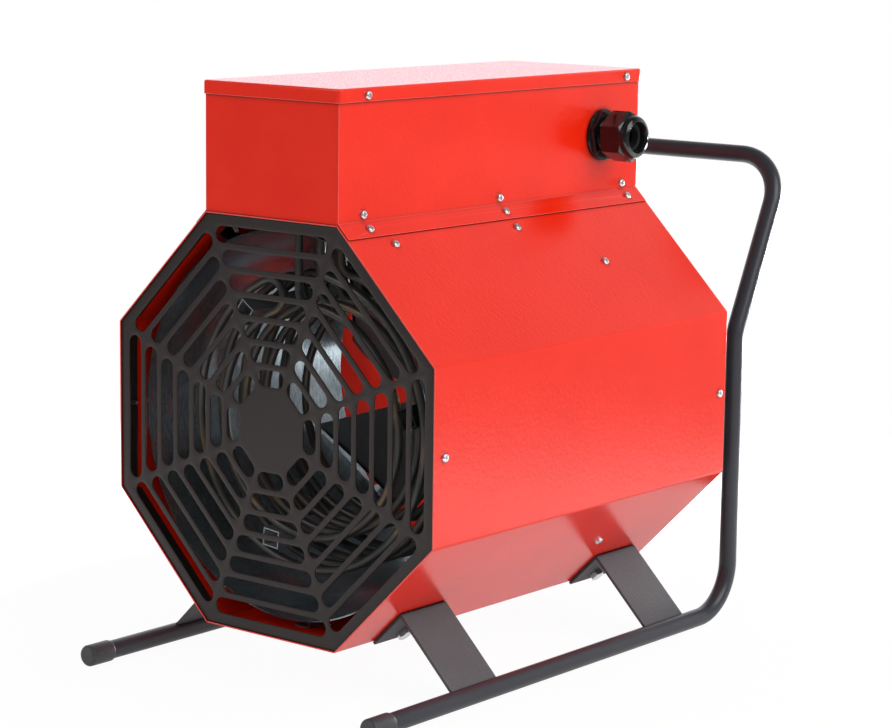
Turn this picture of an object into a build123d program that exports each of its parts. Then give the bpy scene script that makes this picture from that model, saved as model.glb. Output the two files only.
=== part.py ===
from build123d import *
import os
from math import atan2, cos, degrees, radians, sin, sqrt, tan

# Forced air heater: an octagonal steel casing round a galvanised duct, with ring-shaped
# heating elements and a fan, a control box on top, and a bent tube frame as skid and handle.
# Millimetres. +X is right, the warm air leaves towards -Y, +Z is up, the floor is Z = 0,
# and Y = 0 is halfway along the whole length.

# ---------------------------------------------------------------- driving dimensions
SHEET = 1.2                    # casing, duct and box sheet
CASING_WIDTH = 400.0           # across the flats of the octagon
CASING_LENGTH = 466.0
GROUND_CLEARANCE = 49.5        # floor to the underside of the casing
BEND_RADIUS = 4.0              # outside of a bend in the casing sheet
FIT_GAP = 0.3                  # between sheet pieces that slide into each other
PIN_GAP = 0.05                 # radial, round shafts, screws and tubes
PRESS_GAP = 0.01               # radial, where a shaft is pressed in
CUT = 2.0                      # cuts start and end this far outside the metal
DRILL = 8.0                    # depth of the holes drilled in from outside

GRILLE_PLATE = 1.5
GRILLE_RECESS = 1.0            # grille face behind the edge of the casing
GRILLE_FLANGE = 20.0           # depth of the folded sides
FLANGE_CORNER = 6.0            # folds end this far from each corner
RING_COUNT = 7
GRILLE_DISC = 40.9             # plain middle of the grille, centre to the first slots
GRILLE_RIM = 10.8              # plain edge outside the last slots
RING_BAR = 5.8                 # metal left between two rings of slots
SPOKE = 7.5                    # metal left between the ends of two slots

BOX_HEIGHT = 123.6             # casing top to lid top
BOX_SETBACK = 1.0              # box front and rear behind the ends of the casing
SKIRT = 18.0                   # sides of the box that lie on the sloping facets
LID_OVERHANG = 2.0
LID_FLANGE = 13.0
LID_CORNER = 3.4
LID_ROUND = 2.0
TRAY_RISE = 15.0               # upturned sides of the component tray
TRAY_INSET = 9.0               # tray ends inside the front and rear of the box

DUCT_SPACE = 13.0              # duct inside the flats of the casing
DUCT_FRONT = 24.0              # front edge of the duct behind the front of the casing
FAN_SPACE = 156.0              # rear edge of the duct to the rear of the casing
CLIP_FOOT = 18.0               # feet of the duct brackets
CLIP_WIDTH = 24.0

ELEMENT_COUNT = 5
ELEMENT_TUBE = 8.5
ELEMENT_SPACE = 43.8           # duct to the middle of the outer turn
TURN_SPACE = 31.5              # middle of the outer turn to the middle of the inner turn
ELEMENT_START = 0.1105         # first and last element, as shares of the duct's length
ELEMENT_END = 0.5217
LEG_SPREAD = 28.0              # between the two straight ends of an element
LEG_BEND = 14.0
LEG_CLEARANCE = 2.5            # duct holes round the straight ends
ELEMENT_RISE = 24.0            # straight ends above the top of the casing
RETURN_ANGLE = 113.0           # where the hairpin turns back, from +X
RAIL_ANGLES = (9.5, 129.5, 249.5)
RAIL_WIDTH = 20.0
RAIL_TWIST = 15.0              # rails turned from square to the radius
RAIL_OVERRUN = 6.0
OPENING_MARGIN = 18.0          # opening in the casing round the element ends
PLATE_LAP = 12.0               # plate beyond that opening
PLATE_SHEET = 1.5
BUSH_FLANGE = 14.0             # ceramic bushes on the element ends
BUSH_FLANGE_HEIGHT = 4.0
BUSH_DIAMETER = 11.2
BUSH_HEIGHT = 13.0
CUTOUT_DIAMETER = 18.0
CUTOUT_HEIGHT = 8.0

TIP_GAP = 3.8                  # blade tips to the duct
FAN_INSIDE = 50.0              # front edges of the blades ahead of the rear edge of the duct
FAN_DEPTH = 63.0
BLADE_COUNT = 5
BLADE_SHEET = 2.0
BLADE_START = 197.5            # front edge of the first blade, degrees from +X
BLADE_CAMBER = 0.07            # rise of the blade's curve, as a share of its chord
HUB_DIAMETER = 92.0
HUB_SETBACK = 2.0
HUB_ROUND = 10.0
HUB_WALL = 4.0
HUB_POCKET = 34.0              # hollow rear of the hub
HUB_BOSS = 28.0
HUB_FACE = 8.0                 # metal in front of the shaft
SHAFT_DIAMETER = 12.0
BEARING_DIAMETER = 20.0
BEARING_WIDTH = 11.0
BEARING_INSET = 4.0
MOTOR_DIAMETER = 118.0
MOTOR_BARREL = 60.0            # length of the finned housing
MOTOR_COVER = 24.0             # length of the rear cover
MOTOR_WALL = 4.0
FIN_COUNT = 24
FIN_GROOVE = 1.5               # depth of the grooves between the fins
FIN_GROOVE_WIDTH = 5.0
VENT_COUNT = 8
BRACKET_PLATE = 2.5
BRACKET_LAP = 8.0              # bracket disc beyond the motor
BRACKET_FLANGE = 20.0
ARM_WIDTH = 34.0

FRAME_TUBE = 18.0
FRAME_WALL = 1.5
SKID_INSET = 19.0              # skids inside the flats of the casing
SKID_NOSE = 66.0               # foot caps ahead of the casing
UPRIGHT_GAP = 44.0             # casing rear to the centre of the uprights
KINK_RISE = 54.5               # middle of the casing to the bend where the uprights lean back
HANDLE_RISE = 30.5             # top of the casing to the centre of the handle bar
HANDLE_REACH = 83.7            # handle bar behind the uprights
TUBE_BEND = 52.0
KINK_BEND = 40.0
CAP_DIAMETER = 21.0
CAP_LENGTH = 30.0
CAP_FACE = 3.0

STRAP = 3.0                    # leg bracket steel
STRAP_WIDTH = 66.0
STRAP_FRONT_INSET = 55.0
STRAP_REAR_INSET = 36.0
STRAP_LAP = 0.86               # flange past the corner of the casing
STRAP_SHIFT = 5.3              # leg above the middle of the skid tube

GLAND_HEX = 45.0               # across the flats
GLAND_THREAD = 37.0
GLAND_BORE = 27.0
GLAND_FROM_REAR = 63.0
GLAND_HEIGHT = 59.0            # above the top of the casing
GLAND_REACH = 45.5             # dome nut end outside the box
GLAND_MOUTH = 31.0
GLAND_WASHER = 3.0             # round foot of the gland body
GLAND_BODY = 7.5               # foot and hexagon of the gland body
GLAND_NECK = 7.0               # sleeve that shows between the body and the dome nut
GLAND_COLLAR = 14.0            # part of the sleeve inside the dome nut
GLAND_TURNS = (46.0, 35.0)     # one corner of the body and of the nut, up from the rear
NUT_HEXAGON = 0.7              # share of the dome nut that is a hexagon
LOCKNUT_THICK = 7.0
SEAL_WALL = 3.0
SEAL_LENGTH = 9.0

KNOB_DIAMETER = 40.0
KNOB_HEIGHT = 22.0
KNOB_SPREAD = 76.0
KNOB_DROP = 58.0               # knobs below the lid top
KNOB_SKIRT = 5.0               # height of the wider foot of a knob
KNOB_GRIPS = 12
SPINDLE_DIAMETER = 6.0
SPINDLE_LENGTH = 24.0
SWITCH_SIZE = 46.0
SWITCH_DEPTH = 38.0
THERMOSTAT_SIZE = 38.0
THERMOSTAT_DEPTH = 28.0
LAMP_DIAMETER = 10.0
LAMP_RISE = 30.0               # lamp above the knobs
CONTACTOR_WIDTH = 45.0
CONTACTOR_SIZES = ((75.0, 58.0), (48.0, 80.0))  # length and height of foot and head
CONTACTOR_INSET = 176.0        # contactors ahead of the rear of the casing
TERMINAL_GAP = 82.0            # terminal block behind the contactors
TERMINAL_SIZE = (78.0, 30.0)
TERMINAL_HEIGHT = 34.0
TERMINAL_WAYS = 5

SCREW_HEAD = 8.2
SCREW_HEAD_HEIGHT = 2.6
SCREW_SHANK = 4.2
SCREW_LENGTH = 9.0
MOTOR_SCREW_LENGTH = 12.0
BOLT_THREAD = 8.0
BOLT_HEX = 13.0
BOLT_HEAD = 5.3
BOLT_LENGTH = 18.0
NUT_HEIGHT = 6.5
BOLT_PLACE = 0.78              # share of the strap's flange from its fold to the bolt

# ---------------------------------------------------------------- worked-out places
ROOT2 = sqrt(2)
ROOT3 = sqrt(3)
HALF_WIDTH = CASING_WIDTH / 2
AXIS_Z = GROUND_CLEARANCE + HALF_WIDTH
SIDE = CASING_WIDTH * tan(radians(22.5))
OVERALL = SKID_NOSE + CASING_LENGTH + UPRIGHT_GAP + HANDLE_REACH + FRAME_TUBE / 2
FRONT_Y = SKID_NOSE - OVERALL / 2
DUCT_RADIUS = HALF_WIDTH - DUCT_SPACE
DUCT_REAR = CASING_LENGTH - FAN_SPACE
DUCT_LENGTH = DUCT_REAR - DUCT_FRONT
BOX_HALF = SIDE / 2 + 0.5
BOX_LENGTH = CASING_LENGTH - 2 * BOX_SETBACK
BOX_TOP = HALF_WIDTH + BOX_HEIGHT - SHEET
ELEMENT_OUTER = DUCT_RADIUS - ELEMENT_SPACE
ELEMENT_INNER = ELEMENT_OUTER - TURN_SPACE
ELEMENT_FIRST = DUCT_FRONT + ELEMENT_START * DUCT_LENGTH
ELEMENT_LAST = DUCT_FRONT + ELEMENT_END * DUCT_LENGTH
ELEMENT_MIDDLE = (ELEMENT_FIRST + ELEMENT_LAST) / 2
ELEMENT_SPAN = ELEMENT_LAST - ELEMENT_FIRST
ELEMENT_PITCH = ELEMENT_SPAN / (ELEMENT_COUNT - 1)
ELEMENT_DEPTHS = [ELEMENT_FIRST + ELEMENT_PITCH * i for i in range(ELEMENT_COUNT)]
OPENING = (LEG_SPREAD + 2 * OPENING_MARGIN, ELEMENT_SPAN + 2 * OPENING_MARGIN)
OPENING_CORNER = 6.0
FAN_RADIUS = DUCT_RADIUS - SHEET - TIP_GAP
FAN_FRONT = DUCT_REAR - FAN_INSIDE
FAN_REAR = FAN_FRONT + FAN_DEPTH
BRACKET_FACE = FAN_REAR + BRACKET_FLANGE
BRACKET_SCREW = BRACKET_FACE - BRACKET_FLANGE / 2
MOTOR_FACE = BRACKET_FACE + BRACKET_PLATE
MOTOR_RADIUS = MOTOR_DIAMETER / 2
COVER_FACE = MOTOR_FACE + MOTOR_BARREL
SKID_Z = CAP_DIAMETER / 2 - AXIS_Z
SKID_X = HALF_WIDTH - SKID_INSET
SKID_OUT = (SKID_X - SKID_Z) / ROOT2
SKID_ALONG = (SKID_X + SKID_Z) / ROOT2
STRAP_ALONG = SKID_ALONG + STRAP_SHIFT
STRAP_END = -SIDE / 2 - STRAP_LAP
SLOPES_RIGHT = (45.0, -45.0)


def section(depth):
    """Plane across the duct, seen from the front: local x right, y up, origin on its axis."""
    return Plane(origin=(0, FRONT_Y + depth, AXIS_Z), x_dir=(1, 0, 0), z_dir=(0, -1, 0))


def facet(angle, depth):
    """Section turned so that local x points out through the facet at this angle."""
    turn = radians(angle)
    return Plane(origin=(0, FRONT_Y + depth, AXIS_Z), x_dir=(cos(turn), 0, sin(turn)), z_dir=(0, -1, 0))


def on_facet(angle, out, along, depth):
    """Plane lying on a facet and facing out, for screws and bolts."""
    turn = radians(angle)
    x = out * cos(turn) - along * sin(turn)
    z = out * sin(turn) + along * cos(turn)
    return Plane(origin=(x, FRONT_Y + depth, AXIS_Z + z), x_dir=(0, 1, 0), z_dir=(cos(turn), 0, sin(turn)))


def both_sides(angle, out, along, depths):
    """The same screw places on the right and on the left of the heater."""
    right = [on_facet(angle, out, along, depth) for depth in depths]
    left = [on_facet(180 - angle, out, -along, depth) for depth in depths]
    return right + left


def save(builder, name):
    """Label a finished piece and write it as its own STEP file."""
    builder.part.label = name
    export_step(builder.part, f"parts/{name}.step")


os.makedirs("parts", exist_ok=True)

# ---------------------------------------------------------------- screw places
BOX_SCREW_INSETS = (35.0, 28.0)        # from the front and from the rear of the casing
LID_SCREW_INSETS = (38.5, 26.0)
GRILLE_SCREW_INSETS = (14.5, 11.0)
DUCT_SCREW_INSETS = (34.0, 70.0)       # from the front and rear edge of the duct
SKIRT_SCREW_SHIFT = 2.0                # screws in the skirt behind those in the wall above them
CLIP_CORNER = 28.4                     # duct screws from the upper corner of the sloping facet
LID_SCREW_DROP = 6.0
TRAY_SCREW_RISE = 7.5
BOX_BASE_DEPTHS = [
    BOX_SCREW_INSETS[0], (CASING_LENGTH + BOX_SCREW_INSETS[0] - BOX_SCREW_INSETS[1]) / 2,
    CASING_LENGTH - BOX_SCREW_INSETS[1],
]
SKIRT_DEPTHS = [depth + SKIRT_SCREW_SHIFT for depth in BOX_BASE_DEPTHS]
SKIRT_MIDDLE = SIDE / 2 - SKIRT / 2
DUCT_SCREW_DEPTHS = [DUCT_FRONT + DUCT_SCREW_INSETS[0], DUCT_REAR - DUCT_SCREW_INSETS[1]]
DUCT_SCREW_OFFSET = SIDE / 2 - CLIP_CORNER
GRILLE_SCREW_DEPTHS = [GRILLE_SCREW_INSETS[0], CASING_LENGTH - GRILLE_SCREW_INSETS[1]]
LID_SCREW_DEPTHS = [LID_SCREW_INSETS[0], CASING_LENGTH - LID_SCREW_INSETS[1]]
LEG_DEPTHS = [STRAP_FRONT_INSET, CASING_LENGTH - STRAP_REAR_INSET - STRAP_WIDTH]
BOLT_ALONG = STRAP_ALONG + BOLT_PLACE * (STRAP_END - STRAP_ALONG)

lid_places = both_sides(0, BOX_HALF + LID_OVERHANG, BOX_TOP - LID_SCREW_DROP, LID_SCREW_DEPTHS)
tray_places = both_sides(0, BOX_HALF, HALF_WIDTH + TRAY_SCREW_RISE, BOX_BASE_DEPTHS)
skirt_places = both_sides(45, HALF_WIDTH + SHEET, SKIRT_MIDDLE, SKIRT_DEPTHS)
duct_places = both_sides(45, HALF_WIDTH, DUCT_SCREW_OFFSET, DUCT_SCREW_DEPTHS)
duct_places += [on_facet(-90, HALF_WIDTH, 0, depth) for depth in DUCT_SCREW_DEPTHS]
motor_places = [place for angle in SLOPES_RIGHT for place in both_sides(angle, HALF_WIDTH, 0, [BRACKET_SCREW])]
grille_places = both_sides(0, HALF_WIDTH, 0, GRILLE_SCREW_DEPTHS)
motor_screw_places = [
    section(BRACKET_FACE) * Pos(location.position) for location in PolarLocations(MOTOR_RADIUS * 0.75, 4, 45)
]
bolt_places = []
for leg_depth in LEG_DEPTHS:
    bolt_places += both_sides(-45, HALF_WIDTH + STRAP, BOLT_ALONG, [leg_depth + STRAP_WIDTH / 2])
SHANK_HOLE = SCREW_SHANK / 2 + PIN_GAP
BOLT_HOLE = BOLT_THREAD / 2 + PIN_GAP

# ---------------------------------------------------------------- casing
with BuildPart() as casing:
    with BuildSketch(section(0)) as casing_outline:
        RegularPolygon(HALF_WIDTH, 8, major_radius=False, rotation=22.5)
        fillet(casing_outline.vertices(), BEND_RADIUS)
        RegularPolygon(HALF_WIDTH - SHEET, 8, major_radius=False, rotation=22.5, mode=Mode.SUBTRACT)
    extrude(amount=-CASING_LENGTH)
    # opening under the control box, for the ends of the heating elements
    with BuildSketch(Plane((0, FRONT_Y + ELEMENT_MIDDLE, AXIS_Z + HALF_WIDTH + CUT))):
        RectangleRounded(*OPENING, OPENING_CORNER)
    extrude(amount=-SHEET - 2 * CUT, mode=Mode.SUBTRACT)
    with Locations(*skirt_places, *duct_places, *motor_places, *grille_places):
        Hole(SHANK_HOLE, DRILL)
    with Locations(*bolt_places):
        Hole(BOLT_HOLE, DRILL)
save(casing, "casing")


# ---------------------------------------------------------------- front and rear grille
def grille(face, screw_side):
    """Octagonal plate with rings of slots like a web, and sides folded into the casing."""
    apothem = HALF_WIDTH - SHEET - FIT_GAP
    pitch = (apothem - GRILLE_RIM - GRILLE_DISC + RING_BAR) / RING_COUNT
    slot_width = pitch - RING_BAR
    with BuildPart() as plate:
        with BuildSketch(face):
            RegularPolygon(apothem, 8, major_radius=False, rotation=22.5)
            for ring in range(RING_COUNT):
                radius = GRILLE_DISC + slot_width / 2 + pitch * ring
                length = 2 * radius * tan(radians(22.5)) - SPOKE
                with PolarLocations(radius, 8):
                    SlotOverall(length, slot_width, rotation=90, mode=Mode.SUBTRACT)
        extrude(amount=-GRILLE_PLATE)
        flange_length = 2 * (apothem * tan(radians(22.5)) - FLANGE_CORNER)
        with BuildSketch(face.offset(-GRILLE_PLATE)):
            for first in (-45, 135):
                with PolarLocations(apothem - GRILLE_PLATE / 2, 3, first, 90, endpoint=True):
                    Rectangle(GRILLE_PLATE, flange_length)
        extrude(amount=GRILLE_PLATE - GRILLE_FLANGE)
        with Locations(*screw_side):
            Hole(SHANK_HOLE, DRILL)
    return plate


front_screws = [place for place in grille_places if place.origin.Y < FRONT_Y + CASING_LENGTH / 2]
rear_screws = [place for place in grille_places if place.origin.Y > FRONT_Y + CASING_LENGTH / 2]
rear_face = Plane(
    origin=(0, FRONT_Y + CASING_LENGTH - GRILLE_RECESS, AXIS_Z), x_dir=(-1, 0, 0), z_dir=(0, 1, 0)
)
save(grille(section(GRILLE_RECESS), front_screws), "front_grille")
save(grille(rear_face, rear_screws), "rear_grille")

# ---------------------------------------------------------------- duct and its brackets
LEG_HOLE = ELEMENT_TUBE / 2 + LEG_CLEARANCE
leg_spots = [(x, FRONT_Y + depth) for depth in ELEMENT_DEPTHS for x in (-LEG_SPREAD / 2, LEG_SPREAD / 2)]

with BuildPart() as inner_duct:
    with BuildSketch(section(DUCT_FRONT)):
        Circle(DUCT_RADIUS)
        Circle(DUCT_RADIUS - SHEET, mode=Mode.SUBTRACT)
    extrude(amount=-DUCT_LENGTH)
    with BuildSketch(Plane((0, 0, AXIS_Z + HALF_WIDTH))):
        with Locations(*leg_spots):
            Circle(LEG_HOLE)
    extrude(amount=-HALF_WIDTH / 2, mode=Mode.SUBTRACT)
save(inner_duct, "inner_duct")


def duct_bracket(angle, along, toward, depth):
    """Z-shaped strap: one foot under a casing facet, the other curved on to the duct."""
    seat = DUCT_RADIUS + PIN_GAP
    inside = HALF_WIDTH - SHEET - PIN_GAP
    root = seat - CLIP_FOOT / 2
    middle = along + toward * CLIP_FOOT / 2
    with BuildPart() as strap:
        with BuildSketch(facet(angle, depth - CLIP_WIDTH / 2)):
            Circle(seat + SHEET)
            with Locations((DUCT_RADIUS, middle + toward * CLIP_FOOT / 2)):
                Rectangle(3 * CLIP_FOOT, CLIP_FOOT, mode=Mode.INTERSECT)
            with Locations(((root + inside) / 2, middle)):
                Rectangle(inside - root, SHEET)
            with Locations((inside - SHEET / 2, along)):
                Rectangle(SHEET, CLIP_FOOT + SHEET)
            Circle(seat, mode=Mode.SUBTRACT)
        extrude(amount=-CLIP_WIDTH)
        with Locations(on_facet(angle, HALF_WIDTH, along, depth)):
            Hole(SHANK_HOLE, DRILL)
    return strap.part


with BuildPart() as duct_brackets:
    for bracket_depth in DUCT_SCREW_DEPTHS:
        add(duct_bracket(45, DUCT_SCREW_OFFSET, -1, bracket_depth))
        add(duct_bracket(135, -DUCT_SCREW_OFFSET, 1, bracket_depth))
        add(duct_bracket(-90, 0, 1, bracket_depth))
save(duct_brackets, "duct_brackets")

# ---------------------------------------------------------------- heating elements
LEG_TOP = HALF_WIDTH + ELEMENT_RISE


def spot(radius, angle):
    """Point at this radius and angle from the duct axis, in a section's own coordinates."""
    return (radius * cos(radians(angle)), radius * sin(radians(angle)))


def heating_element(depth):
    """Sheathed tube in a hairpin: down, once round outside, back once round inside, and up."""
    outer = ELEMENT_OUTER
    inner = ELEMENT_INNER
    leg = LEG_SPREAD / 2
    out_x = leg + LEG_BEND
    out_z = sqrt((outer + LEG_BEND) ** 2 - out_x**2)
    out_angle = degrees(atan2(out_z, out_x))
    out_middle = spot(LEG_BEND, 180 + out_angle / 2)
    in_x = LEG_BEND - leg
    in_z = sqrt((inner + LEG_BEND) ** 2 - in_x**2)
    in_angle = degrees(atan2(in_z, in_x))
    in_middle = spot(LEG_BEND, 180 + in_angle / 2)
    nose_centre = spot((outer + inner) / 2, RETURN_ANGLE)
    nose_reach = spot((outer - inner) / 2, RETURN_ANGLE - 90)
    nose = (nose_centre[0] + nose_reach[0], nose_centre[1] + nose_reach[1])
    with BuildPart() as element:
        with BuildLine(section(depth)) as route:
            Line((leg, LEG_TOP), (leg, out_z))
            ThreePointArc((leg, out_z), (out_x + out_middle[0], out_z + out_middle[1]), spot(outer, out_angle))
            ThreePointArc(spot(outer, out_angle), (0, -outer), spot(outer, RETURN_ANGLE))
            ThreePointArc(spot(outer, RETURN_ANGLE), nose, spot(inner, RETURN_ANGLE))
            ThreePointArc(spot(inner, RETURN_ANGLE), (0, -inner), spot(inner, in_angle))
            ThreePointArc(spot(inner, in_angle), (in_x + in_middle[0], in_z + in_middle[1]), (-leg, in_z))
            Line((-leg, in_z), (-leg, LEG_TOP))
        tube_path = route.wire()
        with BuildSketch(Plane(tube_path @ 0, z_dir=tube_path % 0)):
            Circle(ELEMENT_TUBE / 2)
        sweep(path=tube_path)
    return element


for number, element_depth in enumerate(ELEMENT_DEPTHS, start=1):
    save(heating_element(element_depth), f"heating_element_{number}")

with BuildPart() as element_rails:
    rail_inner = ELEMENT_INNER + ELEMENT_TUBE / 2 + FIT_GAP
    rail_outer = sqrt((ELEMENT_OUTER - ELEMENT_TUBE / 2 - FIT_GAP) ** 2 - (RAIL_WIDTH / 2) ** 2)
    rail_tilt = radians(RAIL_TWIST)
    rail_height = (rail_outer - rail_inner - RAIL_WIDTH * sin(rail_tilt)) / cos(rail_tilt)
    for rail_angle in RAIL_ANGLES:
        with BuildSketch(facet(rail_angle, ELEMENT_FIRST - RAIL_OVERRUN)):
            with Locations(((rail_inner + rail_outer) / 2, 0)):
                Rectangle(rail_height, RAIL_WIDTH, rotation=RAIL_TWIST)
                Rectangle(
                    rail_height - 2 * SHEET, RAIL_WIDTH - 2 * SHEET, rotation=RAIL_TWIST, mode=Mode.SUBTRACT
                )
        extrude(amount=-ELEMENT_SPAN - 2 * RAIL_OVERRUN)
save(element_rails, "element_rails")

PLATE_Z = AXIS_Z + HALF_WIDTH + PIN_GAP
with BuildPart() as element_plate:
    with BuildSketch(Plane((0, FRONT_Y + ELEMENT_MIDDLE, PLATE_Z))):
        Rectangle(OPENING[0] + 2 * PLATE_LAP, OPENING[1] + 2 * PLATE_LAP)
    extrude(amount=PLATE_SHEET)
    with BuildSketch(Plane((0, 0, PLATE_Z))):
        with Locations(*leg_spots):
            Circle(ELEMENT_TUBE / 2 + PIN_GAP)
    extrude(amount=PLATE_SHEET, mode=Mode.SUBTRACT)
save(element_plate, "element_plate")

BUSH_Z = PLATE_Z + PLATE_SHEET
with BuildPart() as terminal_bushes:
    for bush_diameter, bush_height in ((BUSH_FLANGE, BUSH_FLANGE_HEIGHT), (BUSH_DIAMETER, BUSH_HEIGHT)):
        with BuildSketch(Plane((0, 0, BUSH_Z))):
            with Locations(*leg_spots):
                Circle(bush_diameter / 2)
        extrude(amount=bush_height)
    with BuildSketch(Plane((0, 0, BUSH_Z))):
        with Locations(*leg_spots):
            Circle(ELEMENT_TUBE / 2 + PIN_GAP)
    extrude(amount=BUSH_HEIGHT, mode=Mode.SUBTRACT)
save(terminal_bushes, "terminal_bushes")

# ---------------------------------------------------------------- fan and motor
# reach from the axis, and how far the front and rear edges lie to each side of the middle line
BLADE_STATIONS = ((0.2, 0.076, 0.124), (0.57, 0.207, 0.284), (1.05, 0.382, 0.21))


def blade_section(reach, ahead, behind):
    """Cambered strip across a blade, from its front edge to its rear edge."""
    across = Plane(origin=(reach, 0, 0), x_dir=(0, 1, 0), z_dir=(1, 0, 0))
    front = Vector(-ahead, 0)
    rear = Vector(behind, -FAN_DEPTH)
    chord = (rear - front).normalized()
    lift = Vector(chord.Y, -chord.X)
    middle = (front + rear) * 0.5 + lift * (BLADE_CAMBER * (rear - front).length)
    with BuildSketch(across) as strip:
        with BuildLine():
            ThreePointArc(front, middle, rear)
            Line(rear, rear + lift * BLADE_SHEET)
            ThreePointArc(rear + lift * BLADE_SHEET, middle + lift * BLADE_SHEET, front + lift * BLADE_SHEET)
            Line(front + lift * BLADE_SHEET, front)
        make_face()
    return strip.sketch


with BuildPart() as blade_blank:
    for share, ahead_share, behind_share in BLADE_STATIONS:
        add(blade_section(share * FAN_RADIUS, ahead_share * FAN_RADIUS, behind_share * FAN_RADIUS))
    loft()

with BuildPart() as trimmed_blade:
    Cylinder(FAN_RADIUS, 3 * FAN_DEPTH)
    add(blade_blank.part, mode=Mode.INTERSECT)

# the blade is drawn along +X round a Z axis; the fan plane turns that axis to the front
fan_plane = section(FAN_FRONT)
BLADE_MIDDLE = degrees(atan2(BLADE_STATIONS[-1][1], BLADE_STATIONS[-1][0]))
HUB_RADIUS = HUB_DIAMETER / 2
with BuildPart() as fan_hub:
    with BuildSketch(section(FAN_FRONT + HUB_SETBACK)):
        Circle(HUB_RADIUS)
    extrude(amount=HUB_SETBACK - FAN_DEPTH)
    fillet(fan_hub.edges().group_by(Axis.Y)[0], HUB_ROUND)

with BuildPart() as fan_wheel:
    with Locations(fan_plane):
        with PolarLocations(0, BLADE_COUNT, BLADE_START + BLADE_MIDDLE):
            add(trimmed_blade.part)
    add(fan_hub.part)
    with BuildSketch(section(FAN_REAR)):
        Circle(HUB_RADIUS - HUB_WALL)
        Circle(HUB_BOSS / 2, mode=Mode.SUBTRACT)
    extrude(amount=HUB_POCKET, mode=Mode.SUBTRACT)
    with BuildSketch(section(FAN_REAR)):
        Circle(SHAFT_DIAMETER / 2 + PRESS_GAP)
    extrude(amount=FAN_DEPTH - HUB_FACE, mode=Mode.SUBTRACT)
save(fan_wheel, "fan_wheel")

SHAFT_FRONT = FAN_FRONT + HUB_FACE + FIT_GAP
SHAFT_REAR = COVER_FACE + MOTOR_COVER / 2
with BuildPart() as motor_shaft:
    with BuildSketch(section(SHAFT_FRONT)):
        Circle(SHAFT_DIAMETER / 2)
    extrude(amount=SHAFT_FRONT - SHAFT_REAR)
    chamfer(motor_shaft.edges().filter_by(GeomType.CIRCLE), 0.8)
save(motor_shaft, "motor_shaft")

with BuildPart() as motor_housing:
    with BuildSketch(section(MOTOR_FACE)):
        Circle(MOTOR_RADIUS)
    extrude(amount=-MOTOR_BARREL)
    fillet(motor_housing.edges().group_by(Axis.Y)[0], MOTOR_WALL)
    with BuildSketch(section(MOTOR_FACE + 2 * MOTOR_WALL)):
        with PolarLocations(MOTOR_RADIUS, FIN_COUNT):
            Rectangle(2 * FIN_GROOVE, FIN_GROOVE_WIDTH)
    extrude(amount=3 * MOTOR_WALL - MOTOR_BARREL, mode=Mode.SUBTRACT)
    with Locations(section(MOTOR_FACE)):
        Hole(BEARING_DIAMETER / 2, MOTOR_BARREL)
    with Locations(*motor_screw_places):
        Hole(SHANK_HOLE, MOTOR_SCREW_LENGTH + CUT)
save(motor_housing, "motor_housing")

with BuildPart() as motor_bearings:
    for bearing_face in (MOTOR_FACE + BEARING_INSET, COVER_FACE - BEARING_INSET - BEARING_WIDTH):
        with BuildSketch(section(bearing_face)):
            Circle(BEARING_DIAMETER / 2 - PRESS_GAP)
            Circle(SHAFT_DIAMETER / 2 + PIN_GAP, mode=Mode.SUBTRACT)
        extrude(amount=-BEARING_WIDTH)
save(motor_bearings, "motor_bearings")

with BuildPart() as motor_rear_cover:
    with BuildSketch(section(COVER_FACE)):
        Circle(MOTOR_RADIUS)
    extrude(amount=-MOTOR_COVER)
    fillet(motor_rear_cover.edges().group_by(Axis.Y)[-1], 2 * MOTOR_WALL)
    with BuildSketch(section(COVER_FACE)):
        Circle(MOTOR_RADIUS - MOTOR_WALL)
    extrude(amount=MOTOR_WALL - MOTOR_COVER, mode=Mode.SUBTRACT)
    with BuildSketch(section(COVER_FACE)):
        with PolarLocations(MOTOR_RADIUS * 0.62, VENT_COUNT):
            SlotOverall(MOTOR_RADIUS * 0.36, MOTOR_WALL)
    extrude(amount=-MOTOR_COVER, mode=Mode.SUBTRACT)
save(motor_rear_cover, "motor_rear_cover")

with BuildPart() as motor_bracket:
    arm_end = HALF_WIDTH - SHEET - PIN_GAP
    with BuildSketch(section(BRACKET_FACE)):
        Circle(MOTOR_RADIUS + BRACKET_LAP)
        with PolarLocations(arm_end / 2, 4, 45):
            Rectangle(arm_end, ARM_WIDTH)
        Circle(SHAFT_DIAMETER, mode=Mode.SUBTRACT)
        with PolarLocations(MOTOR_RADIUS * 0.6, 4, 0):
            SlotOverall(MOTOR_RADIUS / 2, MOTOR_RADIUS / 4, rotation=90, mode=Mode.SUBTRACT)
    extrude(amount=-BRACKET_PLATE)
    with BuildSketch(section(BRACKET_FACE)):
        with PolarLocations(arm_end - BRACKET_PLATE / 2, 4, 45):
            Rectangle(BRACKET_PLATE, ARM_WIDTH)
    extrude(amount=BRACKET_FLANGE)
    with Locations(*motor_places, *motor_screw_places):
        Hole(SHANK_HOLE, DRILL)
save(motor_bracket, "motor_bracket")

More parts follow.
